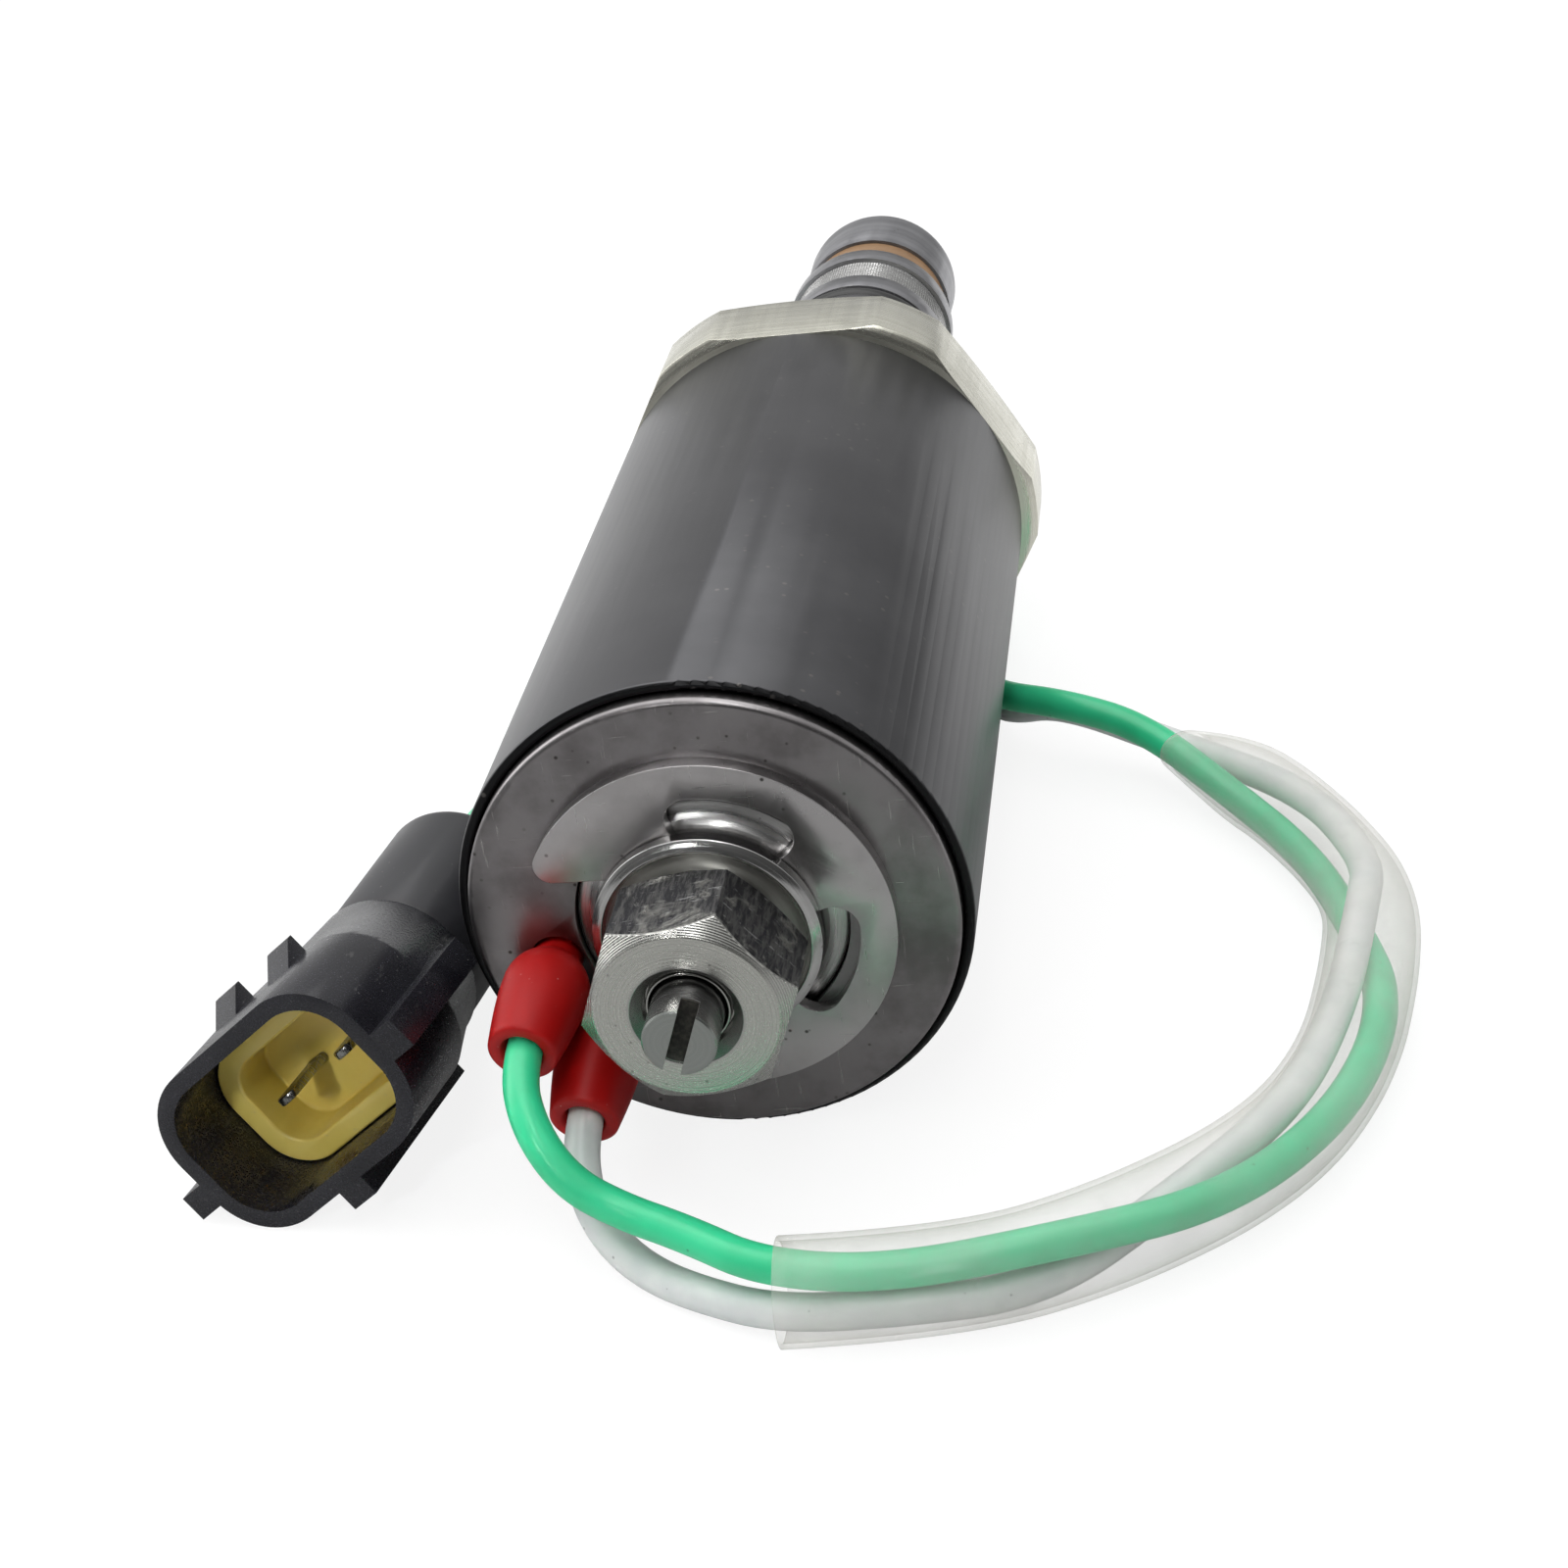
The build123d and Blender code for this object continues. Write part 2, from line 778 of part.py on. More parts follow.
# Connector: everything in it is placed from the plane of its mouth
yaw, pitch = radians(connector_yaw), radians(connector_pitch)
mouth_out = Vector(-sin(yaw) * cos(pitch), -cos(yaw) * cos(pitch), sin(pitch))
mouth_plane = Plane(
    origin=(mouth_x, mouth_station + datum_y, mouth_z), x_dir=(cos(yaw), -sin(yaw), 0), z_dir=mouth_out,
)
connector_place = mouth_plane.location * Rot(0, 0, connector_roll)


def shroud_block(length, height, corner, start, end):
    """Rounded block between two depths behind the mouth."""
    return Pos(0, 0, -end) * extrude(RectangleRounded(length, height, corner), end - start)


def make_connector_housing():
    straight = shroud_block(shroud_length, shroud_height, shroud_corner, 0, shroud_straight)
    front = Pos(0, 0, -shroud_straight) * RectangleRounded(shroud_length, shroud_height, shroud_corner)
    back = Pos(0, 0, -shroud_taper_end) * Circle(shroud_rear_r)
    taper = loft([back, front])
    spigot_end = shroud_taper_end + shroud_spigot_length
    spigot = Pos(0, 0, -spigot_end) * extrude(Circle(shroud_spigot_r), shroud_spigot_length)
    body = straight + taper + spigot
    root = 2.0
    rail = Box(rail_height + root, rail_width, rail_length, align=(Align.MIN, Align.CENTER, Align.MAX))
    slope = Rot(0, 40, 0) * Box(3 * rail_height, 2 * rail_width, 2 * rail_height)
    rail -= Pos(rail_height + root, 0, -rail_length) * slope
    body += Pos(shroud_length / 2 - root, rail_offset, 0) * rail
    key = Box(key_height + root, key_width, key_length, align=(Align.MAX, Align.CENTER, Align.MAX))
    body += Pos(root - shroud_length / 2, key_offset, 0) * key
    rib = Box(rib_width, rib_height + root, rib_length, align=(Align.CENTER, Align.MAX, Align.MAX))
    body += Pos(rib_offset, root - shroud_height / 2, 0) * rib
    rise = shroud_height / 2
    fin_end = fin_start + fin_ramp + fin_top
    profile = Plane.YZ * make_face(Polyline(
        (rise - root, -fin_start), (rise, -fin_start), (rise + fin_height, -fin_start - fin_ramp),
        (rise + fin_height, -fin_end), (rise - root, -fin_end), close=True,
    ))
    for side in (1, -1):
        body += Pos(side * fin_pitch / 2 - fin_width / 2, 0, 0) * extrude(profile, fin_width)
    inner_length = shroud_length - 2 * shroud_wall
    inner_height = shroud_height - 2 * shroud_wall
    body -= shroud_block(inner_length, inner_height, shroud_inner_corner, 0, shroud_depth)
    body -= Pos(0, 0, -spigot_end) * extrude(Circle(shroud_bore_r), spigot_end - shroud_taper_end)
    return connector_place * body


def make_retainer_insert():
    outer_length = shroud_length - 2 * shroud_wall - 2 * slip
    outer_height = shroud_height - 2 * shroud_wall - 2 * slip
    body = shroud_block(outer_length, outer_height, shroud_inner_corner, insert_rim, shroud_depth)
    inner_length = outer_length - 2 * insert_wall
    inner_height = outer_height - 2 * insert_wall
    inner_corner = shroud_inner_corner - insert_wall + 0.3
    body -= shroud_block(inner_length, inner_height, inner_corner, insert_rim, insert_floor)
    for side in (1, -1):
        slot = Box(blade_width, blade_thickness, shroud_depth, align=(Align.CENTER, Align.CENTER, Align.MAX))
        body -= Pos(side * pin_pitch / 2, 0, 0) * slot
    return connector_place * body


def make_contact_pin(side):
    blade = Box(
        blade_width, blade_thickness, shroud_depth - blade_tip, align=(Align.CENTER, Align.CENTER, Align.MAX))
    tip = blade.edges().group_by(Axis.Z)[-1].filter_by(Axis.Y)
    blade = fillet(tip, 0.45 * blade_width)
    return connector_place * Pos(side * pin_pitch / 2, 0, -blade_tip) * blade


def rubber_boot_place():
    """Plane at the front of the rubber boot, its normal pointing back along the boot."""
    start = (connector_place * Pos(0, 0, -shroud_taper_end)).position
    turn = radians(rubber_boot_yaw)
    return Plane(origin=start, x_dir=(cos(turn), -sin(turn), 0), z_dir=(sin(turn), cos(turn), 0))


def make_rubber_boot():
    """Soft boot stretched over the housing's spigot, necked at its rear round the grommet."""
    start = -rubber_boot_overlap
    body = Pos(0, 0, start) * extrude(Circle(rubber_boot_r), rubber_boot_length - start)
    body = fillet(body.edges().group_by(Axis.Z)[-1], rubber_boot_round)
    inner_r = rubber_boot_r - rubber_boot_wall
    body -= Pos(0, 0, start) * extrude(Circle(inner_r), rubber_boot_length - grommet_length - start)
    body -= extrude(Circle(grommet_r), rubber_boot_length)
    return rubber_boot_place().location * body - make_connector_housing()


def make_grommet():
    body = Pos(0, 0, rubber_boot_length - grommet_length) * extrude(Circle(grommet_r), grommet_length)
    for side in (1, -1):
        body -= Pos(side * grommet_hole_pitch / 2, 0, 0) * extrude(Circle(wire_d / 2), rubber_boot_length)
    return rubber_boot_place().location * body


green_place = (green_boot_angle, green_mouth_angle, green_mouth_spread, green_mouth_station)
white_place = (white_boot_angle, white_mouth_angle, white_mouth_spread, white_mouth_station)

nodes = {
    "case": on_axis(make_case()),
    "end_plate": on_axis(make_end_plate()),
    "crescent_ring": on_axis(make_crescent()),
    "guide_tube": on_axis(make_guide_tube()),
    "tube_seal": on_axis(seal(tube_r + tube_seal_section / 2, tube_seal_section, 0.2)),
    "adjuster_plug": on_axis(make_adjuster_plug()),
    "adjusting_screw": on_axis(make_adjusting_screw()),
    "spring_seat": on_axis(make_spring_seat()),
    "preload_spring": on_axis(coil_spring(
        preload_mean_r, preload_wire, seat_face, armature_start + armature_pocket_depth, preload_turns)),
    "armature": on_axis(make_armature()),
    "push_pin": on_axis(rod(pin_r, armature_end - pin_grip, spool_start)),
    "pole_piece": on_axis(make_pole_piece()),
    "joint_ring": on_axis(ring(tube_bore_r - slip, tube_r, tube_length, joint_ring_end)),
    "stop_washer": on_axis(ring(
        pin_r + loose, armature_nose_r - loose, pole_face - stop_washer_thickness, pole_face)),
    "pin_bush": on_axis(ring(pin_r + running, bush_r, bush_start, bush_start + bush_length)),
    "coil_bobbin": on_axis(make_bobbin()),
    "coil_winding": on_axis(ring(
        bobbin_core_r + bobbin_wall, winding_r, bobbin_start + bobbin_flange, bobbin_end - bobbin_flange)),
    "coil_wrap": on_axis(ring(
        winding_r, wrap_r, bobbin_start + bobbin_flange, bobbin_end - bobbin_flange)),
    "flange_hex": on_axis(make_flange_hex()),
    "flange_seal": on_axis(seal(
        boss_groove_r + seal_section / 2, seal_section, boss_start + boss_lip + boss_groove_width / 2)),
    "valve_sleeve": on_axis(make_valve_sleeve()),
    "sleeve_seal_rear": on_axis(seal(
        seal_groove_r + seal_section / 2, seal_section, first_seal_start + seal_groove_width / 2)),
    "sleeve_seal_front": on_axis(seal(
        seal_groove_r + seal_section / 2, seal_section, second_seal_start + seal_groove_width / 2)),
    "nose_seal": on_axis(seal(
        nose_groove_r + nose_seal_section / 2, nose_seal_section, nose_groove_start + nose_seal_section / 2 + slip)),
    "nose_backup_ring": on_axis(ring(
        nose_groove_r, nose_groove_r + backup_wall,
        nose_groove_start + nose_groove_width - backup_width, nose_groove_start + nose_groove_width)),
    "port_screen_rear": on_axis(ring(
        screen_r - screen_wall, screen_r, first_port_start, first_port_start + port_groove_width)),
    "port_screen_front": on_axis(ring(
        screen_r - screen_wall, screen_r, second_port_start, second_port_start + port_groove_width)),
    "spool": on_axis(make_spool()),
    "spring_washer": on_axis(ring(
        spool_tail_r, spool_chamber_r - loose, spool_end, spring_washer_face)),
    "return_spring": on_axis(coil_spring(
        return_mean_r, return_wire, spring_washer_face, nose_plug_start, return_turns)),
    "nose_plug": on_axis(ring(nose_plug_bore_r, spool_chamber_r - slip / 2, nose_plug_start, snap_ring_start)),
    "snap_ring": on_axis(make_snap_ring()),
    "lead_boot_green": on_axis(make_boot(*green_place)),
    "lead_boot_white": on_axis(make_boot(*white_place)),
    "terminal_green": on_axis(make_terminal(*green_place)),
    "terminal_white": on_axis(make_terminal(*white_place)),
    "green_lead": cord(green_route, "green lead", wire_d / 2),
    "white_lead": cord(white_route, "white lead", wire_d / 2),
    "clear_sleeve": cord(sleeve_route, "clear sleeve", sleeve_d / 2, sleeve_d / 2 - sleeve_tube_wall),
    "connector_housing": make_connector_housing(),
    "connector_insert": make_retainer_insert(),
    "contact_pin_upper": make_contact_pin(1),
    "contact_pin_lower": make_contact_pin(-1),
    "connector_boot": make_rubber_boot(),
    "connector_grommet": make_grommet(),
}

for node, solid in nodes.items():
    save(solid, node)
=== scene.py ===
"""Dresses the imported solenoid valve: coil case, adjuster, hexagon flange, cartridge, leads and plug."""

import json
import logging
import math
from dataclasses import dataclass
from enum import Enum
from typing import Any, Iterable, Sequence

import bmesh
import bpy
import numpy as np
from mathutils import Matrix, Vector

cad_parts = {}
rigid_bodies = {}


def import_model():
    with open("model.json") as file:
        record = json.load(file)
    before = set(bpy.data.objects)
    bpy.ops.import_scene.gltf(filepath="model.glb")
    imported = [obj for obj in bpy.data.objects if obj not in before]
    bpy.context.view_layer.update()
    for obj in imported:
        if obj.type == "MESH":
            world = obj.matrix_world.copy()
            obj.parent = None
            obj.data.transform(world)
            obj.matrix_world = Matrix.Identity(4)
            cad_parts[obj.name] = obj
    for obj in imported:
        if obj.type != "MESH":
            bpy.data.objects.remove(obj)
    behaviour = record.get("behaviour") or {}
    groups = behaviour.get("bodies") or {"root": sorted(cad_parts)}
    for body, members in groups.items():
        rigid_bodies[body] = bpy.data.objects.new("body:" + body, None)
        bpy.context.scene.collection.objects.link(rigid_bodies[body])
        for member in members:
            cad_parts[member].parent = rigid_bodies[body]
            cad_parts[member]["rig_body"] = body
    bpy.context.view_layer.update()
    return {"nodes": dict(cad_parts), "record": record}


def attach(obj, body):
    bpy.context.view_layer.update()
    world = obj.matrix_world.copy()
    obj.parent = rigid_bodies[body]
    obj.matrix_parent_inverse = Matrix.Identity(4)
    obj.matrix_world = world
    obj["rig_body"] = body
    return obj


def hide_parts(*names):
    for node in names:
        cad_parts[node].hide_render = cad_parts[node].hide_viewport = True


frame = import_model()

LOG = logging.getLogger("valve")

MM = 0.001
AXIS_Z = 18.0
DATUM_Y = -55.8
BODY = "valve_body"
WIRE_D = 2.5
SLEEVE_R = 3.6
SLEEVE_WALL = 0.4
SAME_POINT = 1e-7
FLAT_ANGLE = 0.6
SECTOR_START = 0.05
FINE_RING = 96

Colour = tuple[float, float, float]
Row = Sequence[float]

WHITE = (1.0, 1.0, 1.0)
NODE_SLOTS = {row["node"]: row["material_slot"] for row in frame["record"]["subparts"]}


# Shader and geometry node helpers


class Sock:
    """A value socket that can be used in plain arithmetic; each operator adds one Math node."""

    def __init__(self, paint: "NodeSheet", link: Any) -> None:
        """Keeps the sheet that the socket belongs to.

        Args:
            paint: The node sheet that new nodes go on.
            link: The output socket that carries the value.
        """
        self.paint = paint
        self.link = link

    def math(self, operation: str, *others: Any) -> "Sock":
        """Adds one Math node whose first input is this socket.

        Args:
            operation: What the node does.
            *others: Its other inputs.

        Returns:
            The node's result.
        """
        inputs = {0: self, **dict(enumerate(others, 1))}
        node = self.paint.node("ShaderNodeMath", {"operation": operation}, inputs)
        return Sock(self.paint, node.outputs[0])

    def _flipped(self, operation: str, other: Any) -> "Sock":
        """Returns one Math node with the other value first."""
        node = self.paint.node("ShaderNodeMath", {"operation": operation}, {0: other, 1: self})
        return Sock(self.paint, node.outputs[0])

    def __add__(self, other: Any) -> "Sock":
        """Sum."""
        return self.math("ADD", other)

    def __radd__(self, other: Any) -> "Sock":
        """Reflected sum."""
        return self.math("ADD", other)

    def __sub__(self, other: Any) -> "Sock":
        """Difference."""
        return self.math("SUBTRACT", other)

    def __rsub__(self, other: Any) -> "Sock":
        """Reflected difference."""
        return self._flipped("SUBTRACT", other)

    def __mul__(self, other: Any) -> "Sock":
        """Product."""
        return self.math("MULTIPLY", other)

    def __rmul__(self, other: Any) -> "Sock":
        """Reflected product."""
        return self.math("MULTIPLY", other)

    def __pow__(self, other: Any) -> "Sock":
        """Power."""
        return self.math("POWER", other)

    def __rpow__(self, other: Any) -> "Sock":
        """Reflected power."""
        return self._flipped("POWER", other)

    def step(self, low: float, high: float) -> "Sock":
        """Returns 0 below low and 1 above high, smooth between them.

        Args:
            low: Value at which the ramp starts.
            high: Value at which the ramp ends, which may be below low.

        Returns:
            The ramped value.
        """
        node = self.paint.node(
            "ShaderNodeMapRange", {"interpolation_type": "SMOOTHSTEP"},
            {"Value": self, "From Min": low, "From Max": high, "To Min": 0.0, "To Max": 1.0},
        )
        return Sock(self.paint, node.outputs[0])


class NodeSheet:
    """A node tree with one method that adds any node and feeds its sockets."""

    def __init__(self, tree: bpy.types.NodeTree) -> None:
        """Wraps a tree."""
        self.tree = tree

    def node(
        self, kind: str, settings: dict[str, Any] | None = None, values: dict[Any, Any] | None = None,
    ) -> Any:
        """Adds a node.

        Args:
            kind: The node's type name.
            settings: Properties set before the sockets.
            values: Values or links by socket name or number.

        Returns:
            The new node.
        """
        made = self.tree.nodes.new(kind)
        for key, value in (settings or {}).items():
            setattr(made, key, value)
        for key, value in (values or {}).items():
            self.feed(made.inputs[key], value)
        return made

    def feed(self, socket: Any, value: Any) -> None:
        """Links a socket to another or sets its own value.

        Args:
            socket: The input that is fed.
            value: A value socket, a node's output or a plain value.
        """
        if isinstance(value, Sock):
            value = value.link
        if isinstance(value, bpy.types.NodeSocket):
            self.tree.links.new(value, socket)
        elif socket.type == "RGBA" and len(value) == 3:
            socket.default_value = (*value, 1.0)
        else:
            socket.default_value = value


class Paint(NodeSheet):
    """One material with its shader nodes."""

    def __init__(self, name: str) -> None:
        """Starts an empty material.

        Args:
            name: The material's name.
        """
        self.material = bpy.data.materials.new(name)
        self.material.use_nodes = True
        super().__init__(self.material.node_tree)
        self.tree.nodes.clear()
        self.coordinates = self.node("ShaderNodeTexCoord").outputs["Object"]
        parts = self.node("ShaderNodeSeparateXYZ", None, {0: self.coordinates})
        self.x, self.y, self.z = (Sock(self, parts.outputs[i]) for i in range(3))

    def radius(self) -> Sock:
        """Distance from the valve's axis, in metres."""
        up = self.z - AXIS_Z * MM
        return (self.x * self.x + up * up).math("SQRT")

    def station(self) -> Sock:
        """Distance along the valve's axis from the case's rim, in metres."""
        return self.y - DATUM_Y * MM

    def stretched(self, x: float, y: float, z: float) -> Any:
        """Object coordinates scaled by a different number each way."""
        scaled = {"Vector": self.coordinates, "Scale": (x, y, z)}
        return self.node("ShaderNodeMapping", {"vector_type": "POINT"}, scaled).outputs[0]

    def noise(
        self, scale: float, detail: float = 3.0, rough: float = 0.55, at: Any = None, bend: float = 0.0,
    ) -> Sock:
        """Fractal noise from 0 to 1.

        Args:
            scale: Features for each metre.
            detail: Number of octaves.
            rough: Strength of the finer octaves.
            at: Coordinates, or the object's own.
            bend: Distortion.

        Returns:
            The noise.
        """
        values = {
            "Vector": self.coordinates if at is None else at, "Scale": scale, "Detail": detail,
            "Roughness": rough, "Distortion": bend,
        }
        return Sock(self, self.node("ShaderNodeTexNoise", {"noise_dimensions": "3D"}, values).outputs[0])

    def lines(self, along: Sock, scale: float, detail: float = 4.0) -> Sock:
        """Noise that changes along one value only, such as turning rings on a radius."""
        values = {"W": along, "Scale": scale, "Detail": detail}
        return Sock(self, self.node("ShaderNodeTexNoise", {"noise_dimensions": "1D"}, values).outputs[0])

    def specks(self, scale: float, size: float) -> Sock:
        """Scatters round specks.

        Args:
            scale: Specks for each metre.
            size: Size of a speck, as a share of the space between them.

        Returns:
            A mask that is 1 in a speck and 0 elsewhere.
        """
        values = {"Vector": self.coordinates, "Scale": scale, "Randomness": 1.0}
        node = self.node("ShaderNodeTexVoronoi", {"feature": "F1"}, values)
        return Sock(self, node.outputs["Distance"]).step(size, 0.4 * size)

    def mixed(self, share: Any, first: Any, second: Any) -> Any:
        """Colour mix of first and second by share."""
        settings = {"data_type": "RGBA", "clamp_factor": True}
        return self.node("ShaderNodeMix", settings, {0: share, 6: first, 7: second}).outputs[2]

    def bump(self, height: Any, strength: float, depth: float) -> Any:
        """Bump from a height.

        Args:
            height: Height socket.
            strength: Strength from 0 to 1.
            depth: Depth in metres of a height of 1.

        Returns:
            The bumped normal.
        """
        values = {"Height": height, "Strength": strength, "Distance": depth}
        return self.node("ShaderNodeBump", None, values).outputs[0]

    def done(self, **values: Any) -> bpy.types.Material:
        """Ends the material with a Principled shader.

        Args:
            **values: The shader's sockets, with underscores for spaces.

        Returns:
            The material.
        """
        named = {key.replace("_", " "): value for key, value in values.items()}
        shader = self.node("ShaderNodeBsdfPrincipled", None, named)
        self.node("ShaderNodeOutputMaterial", None, {"Surface": shader.outputs[0]})
        return self.material


class Grower(NodeSheet):
    """A Geometry Nodes tree with named inputs, applied once to make a plain mesh."""

    def __init__(self, name: str) -> None:
        """Starts a tree whose only output is its geometry.

        Args:
            name: The tree's name.
        """
        super().__init__(bpy.data.node_groups.new(name, "GeometryNodeTree"))
        self.tree.interface.new_socket(name="Geometry", in_out="OUTPUT", socket_type="NodeSocketGeometry")
        self.entry = self.tree.nodes.new("NodeGroupInput")
        self.values: dict[str, Any] = {}

    def given(self, name: str, value: Any) -> Any:
        """Adds a named input.

        Args:
            name: The input's name.
            value: A whole number, a length or a material.

        Returns:
            Its socket inside the tree.
        """
        kind = {int: "NodeSocketInt", float: "NodeSocketFloat"}.get(type(value), "NodeSocketMaterial")
        item = self.tree.interface.new_socket(name=name, in_out="INPUT", socket_type=kind)
        self.values[item.identifier] = value
        return self.entry.outputs[name]

    def ring(self, points: int, radius: Any) -> Any:
        """Returns a circle with this many points."""
        values = {"Resolution": points, "Radius": radius}
        return self.node("GeometryNodeCurvePrimitiveCircle", {"mode": "RADIUS"}, values).outputs[0]

    def swept(self, line: Any, section: Any) -> Any:
        """Returns a section carried along a line, with closed ends where the line is open."""
        values = {"Curve": line, "Profile Curve": section, "Fill Caps": True}
        return self.node("GeometryNodeCurveToMesh", None, values).outputs[0]

    def repeated(self, points: Any, shape: Any) -> Any:
        """Returns a shape placed on every point."""
        values = {"Points": points, "Instance": shape}
        return self.node("GeometryNodeInstanceOnPoints", None, values).outputs[0]

    def stood(self, shape: Any, start: float) -> Any:
        """Stands a shape's local Z along the valve's axis.

        Args:
            shape: What is placed.
            start: Station of its origin, in millimetres.

        Returns:
            The placed shape.
        """
        values = {
            "Geometry": shape,
            "Translation": (0.0, (start + DATUM_Y) * MM, AXIS_Z * MM),
            "Rotation": (-math.pi / 2, 0.0, 0.0),
        }
        return self.node("GeometryNodeTransform", None, values).outputs[0]

    def grown(self, name: str, last: Any, material: bpy.types.Material) -> bpy.types.Object:
        """Ends the tree, evaluates it and returns a plain mesh.

        Args:
            name: Name of the piece.
            last: Geometry socket to end with.
            material: Material of the whole piece.

        Returns:
            The new piece.
        """
        real = self.node("GeometryNodeRealizeInstances", None, {0: last})
        finish = self.given("Finish", material)
        coat = self.node("GeometryNodeSetMaterial", None, {"Geometry": real.outputs[0], "Material": finish})
        exit_node = self.tree.nodes.new("NodeGroupOutput")
        self.feed(exit_node.inputs[0], coat.outputs[0])
        holder = bpy.data.objects.new(name + "_holder", bpy.data.meshes.new(name + "_holder"))
        bpy.context.scene.collection.objects.link(holder)
        modifier = holder.modifiers.new("grow", "NODES")
        modifier.node_group = self.tree
        for identifier, value in self.values.items():
            modifier[identifier] = value
        mesh = evaluated_mesh(holder)
        bpy.data.objects.remove(holder)
        mesh.name = name
        piece = bpy.data.objects.new(name, mesh)
        bpy.context.scene.collection.objects.link(piece)
        return piece


# Mesh helpers


def evaluated_mesh(source: bpy.types.Object) -> bpy.types.Mesh:
    """Returns the object's final mesh as plain data.

    Args:
        source: An object with live modifiers or a curve.

    Returns:
        Its mesh, as plain data.
    """
    bpy.context.view_layer.update()
    graph = bpy.context.evaluated_depsgraph_get()
    final = source.evaluated_get(graph)
    return bpy.data.meshes.new_from_object(final, preserve_all_data_layers=True, depsgraph=graph)


def add_piece(name: str, mesh: bpy.types.Mesh, material: bpy.types.Material) -> bpy.types.Object:
    """Links a mesh as a piece with one material and smooth shading.

    Args:
        name: Name of the piece.
        mesh: Its mesh, in metres.
        material: Its material.

    Returns:
        The new object.
    """
    piece = bpy.data.objects.new(name, mesh)
    bpy.context.scene.collection.objects.link(piece)
    mesh.materials.clear()
    mesh.materials.append(material)
    mesh.polygons.foreach_set("use_smooth", [True] * len(mesh.polygons))
    return piece


def tidy_mesh(mesh: bpy.types.Mesh) -> bpy.types.Mesh:
    """Merges doubles and points every face outwards.

    Args:
        mesh: The mesh that is mended in place.

    Returns:
        The same mesh.
    """
    form = bmesh.new()
    form.from_mesh(mesh)
    bmesh.ops.remove_doubles(form, verts=form.verts, dist=SAME_POINT)
    bmesh.ops.dissolve_degenerate(form, edges=form.edges, dist=0.1 * SAME_POINT)
    bmesh.ops.recalc_face_normals(form, faces=form.faces)
    form.to_mesh(mesh)
    form.free()
    return mesh


def skin(
    name: str, rings: Any, material: bpy.types.Material, loop: bool = False, ends: bool = False,
) -> bpy.types.Object:
    """Joins rings of points into a closed skin.

    Args:
        name: Name of the piece.
        rings: Array of rings, each of the same number of points, in millimetres.
        material: Its material.
        loop: Whether the last ring joins the first.
        ends: Whether the first and last rings are closed by faces.

    Returns:
        The new piece.
    """
    points = np.asarray(rings, float) * MM
    rows, columns = points.shape[:2]
    faces = []
    for i in range(rows if loop else rows - 1):
        a, b = i * columns, ((i + 1) % rows) * columns
        faces += [(a + j, a + (j + 1) % columns, b + (j + 1) % columns, b + j) for j in range(columns)]
    if ends:
        faces += [tuple(range(columns)), tuple(range((rows - 1) * columns, rows * columns))]
    mesh = bpy.data.meshes.new(name)
    mesh.from_pydata(points.reshape(-1, 3).tolist(), [], faces)
    return add_piece(name, tidy_mesh(mesh), material)


def on_axis(profile: Sequence[Row], segments: int = 192) -> np.ndarray:
    """Turns a profile about the valve's axis.

    Args:
        profile: Points of (radius, station), in millimetres.
        segments: Number of points round the axis.

    Returns:
        One ring of points for each point of the profile.
    """
    angles = np.linspace(0, 2 * math.pi, segments, endpoint=False)
    rings = [
        np.stack([r * np.cos(angles), np.full(segments, s + DATUM_Y), AXIS_Z + r * np.sin(angles)], 1)
        for r, s in profile
    ]
    return np.array(rings)


def in_place(rings: np.ndarray, place: Matrix) -> np.ndarray:
    """Moves rings from a local frame in millimetres to the valve's frame."""
    turn = np.array(place.to_3x3())
    return rings @ turn.T + np.array(place.translation)


def lathe(profile: Sequence[Row], segments: int = 96) -> np.ndarray:
    """Turns a profile about the local Z.

    Args:
        profile: Points of (radius, height), in millimetres.
        segments: Number of points round the axis.

    Returns:
        One ring of points for each point of the profile.
    """
    angles = np.linspace(0, 2 * math.pi, segments, endpoint=False)
    across, up = np.cos(angles), np.sin(angles)
    return np.array([np.stack([r * across, r * up, np.full(segments, h)], 1) for r, h in profile])


class Cut(Enum):
    """What a Boolean keeps of the piece that is cut."""

    INSIDE = "INTERSECT"
    OUTSIDE = "DIFFERENCE"


def combined(first: bpy.types.Object, second: bpy.types.Object, cut: Cut) -> bpy.types.Mesh:
    """Joins two closed pieces by a Boolean and removes both.

    Args:
        first: The piece that is cut.
        second: The piece that cuts it.
        cut: What is kept of the first.

    Returns:
        The mesh that is left.
    """
    knife = first.modifiers.new("knife", "BOOLEAN")
    knife.operation, knife.solver, knife.object = cut.value, "EXACT", second
    mesh = evaluated_mesh(first)
    for piece in (first, second):
        bpy.data.objects.remove(piece)
    return mesh


def mark_sectors(form: bmesh.types.BMesh, sectors: int) -> None:
    """Cuts a form by planes through the valve's axis and marks the cuts as seams.

    Args:
        form: The form that is cut in place.
        sectors: Number of sectors round the axis.
    """
    for turn in np.arange(0, math.pi, 2 * math.pi / sectors):
        across = turn + SECTOR_START
        cut = bmesh.ops.bisect_plane(
            form, geom=[*form.verts, *form.edges, *form.faces], dist=0.1 * SAME_POINT,
            plane_co=(0, 0, AXIS_Z * MM), plane_no=(math.cos(across), 0, math.sin(across)),
        )
        for edge in cut["geom_cut"]:
            if isinstance(edge, bmesh.types.BMEdge):
                edge.seam = True


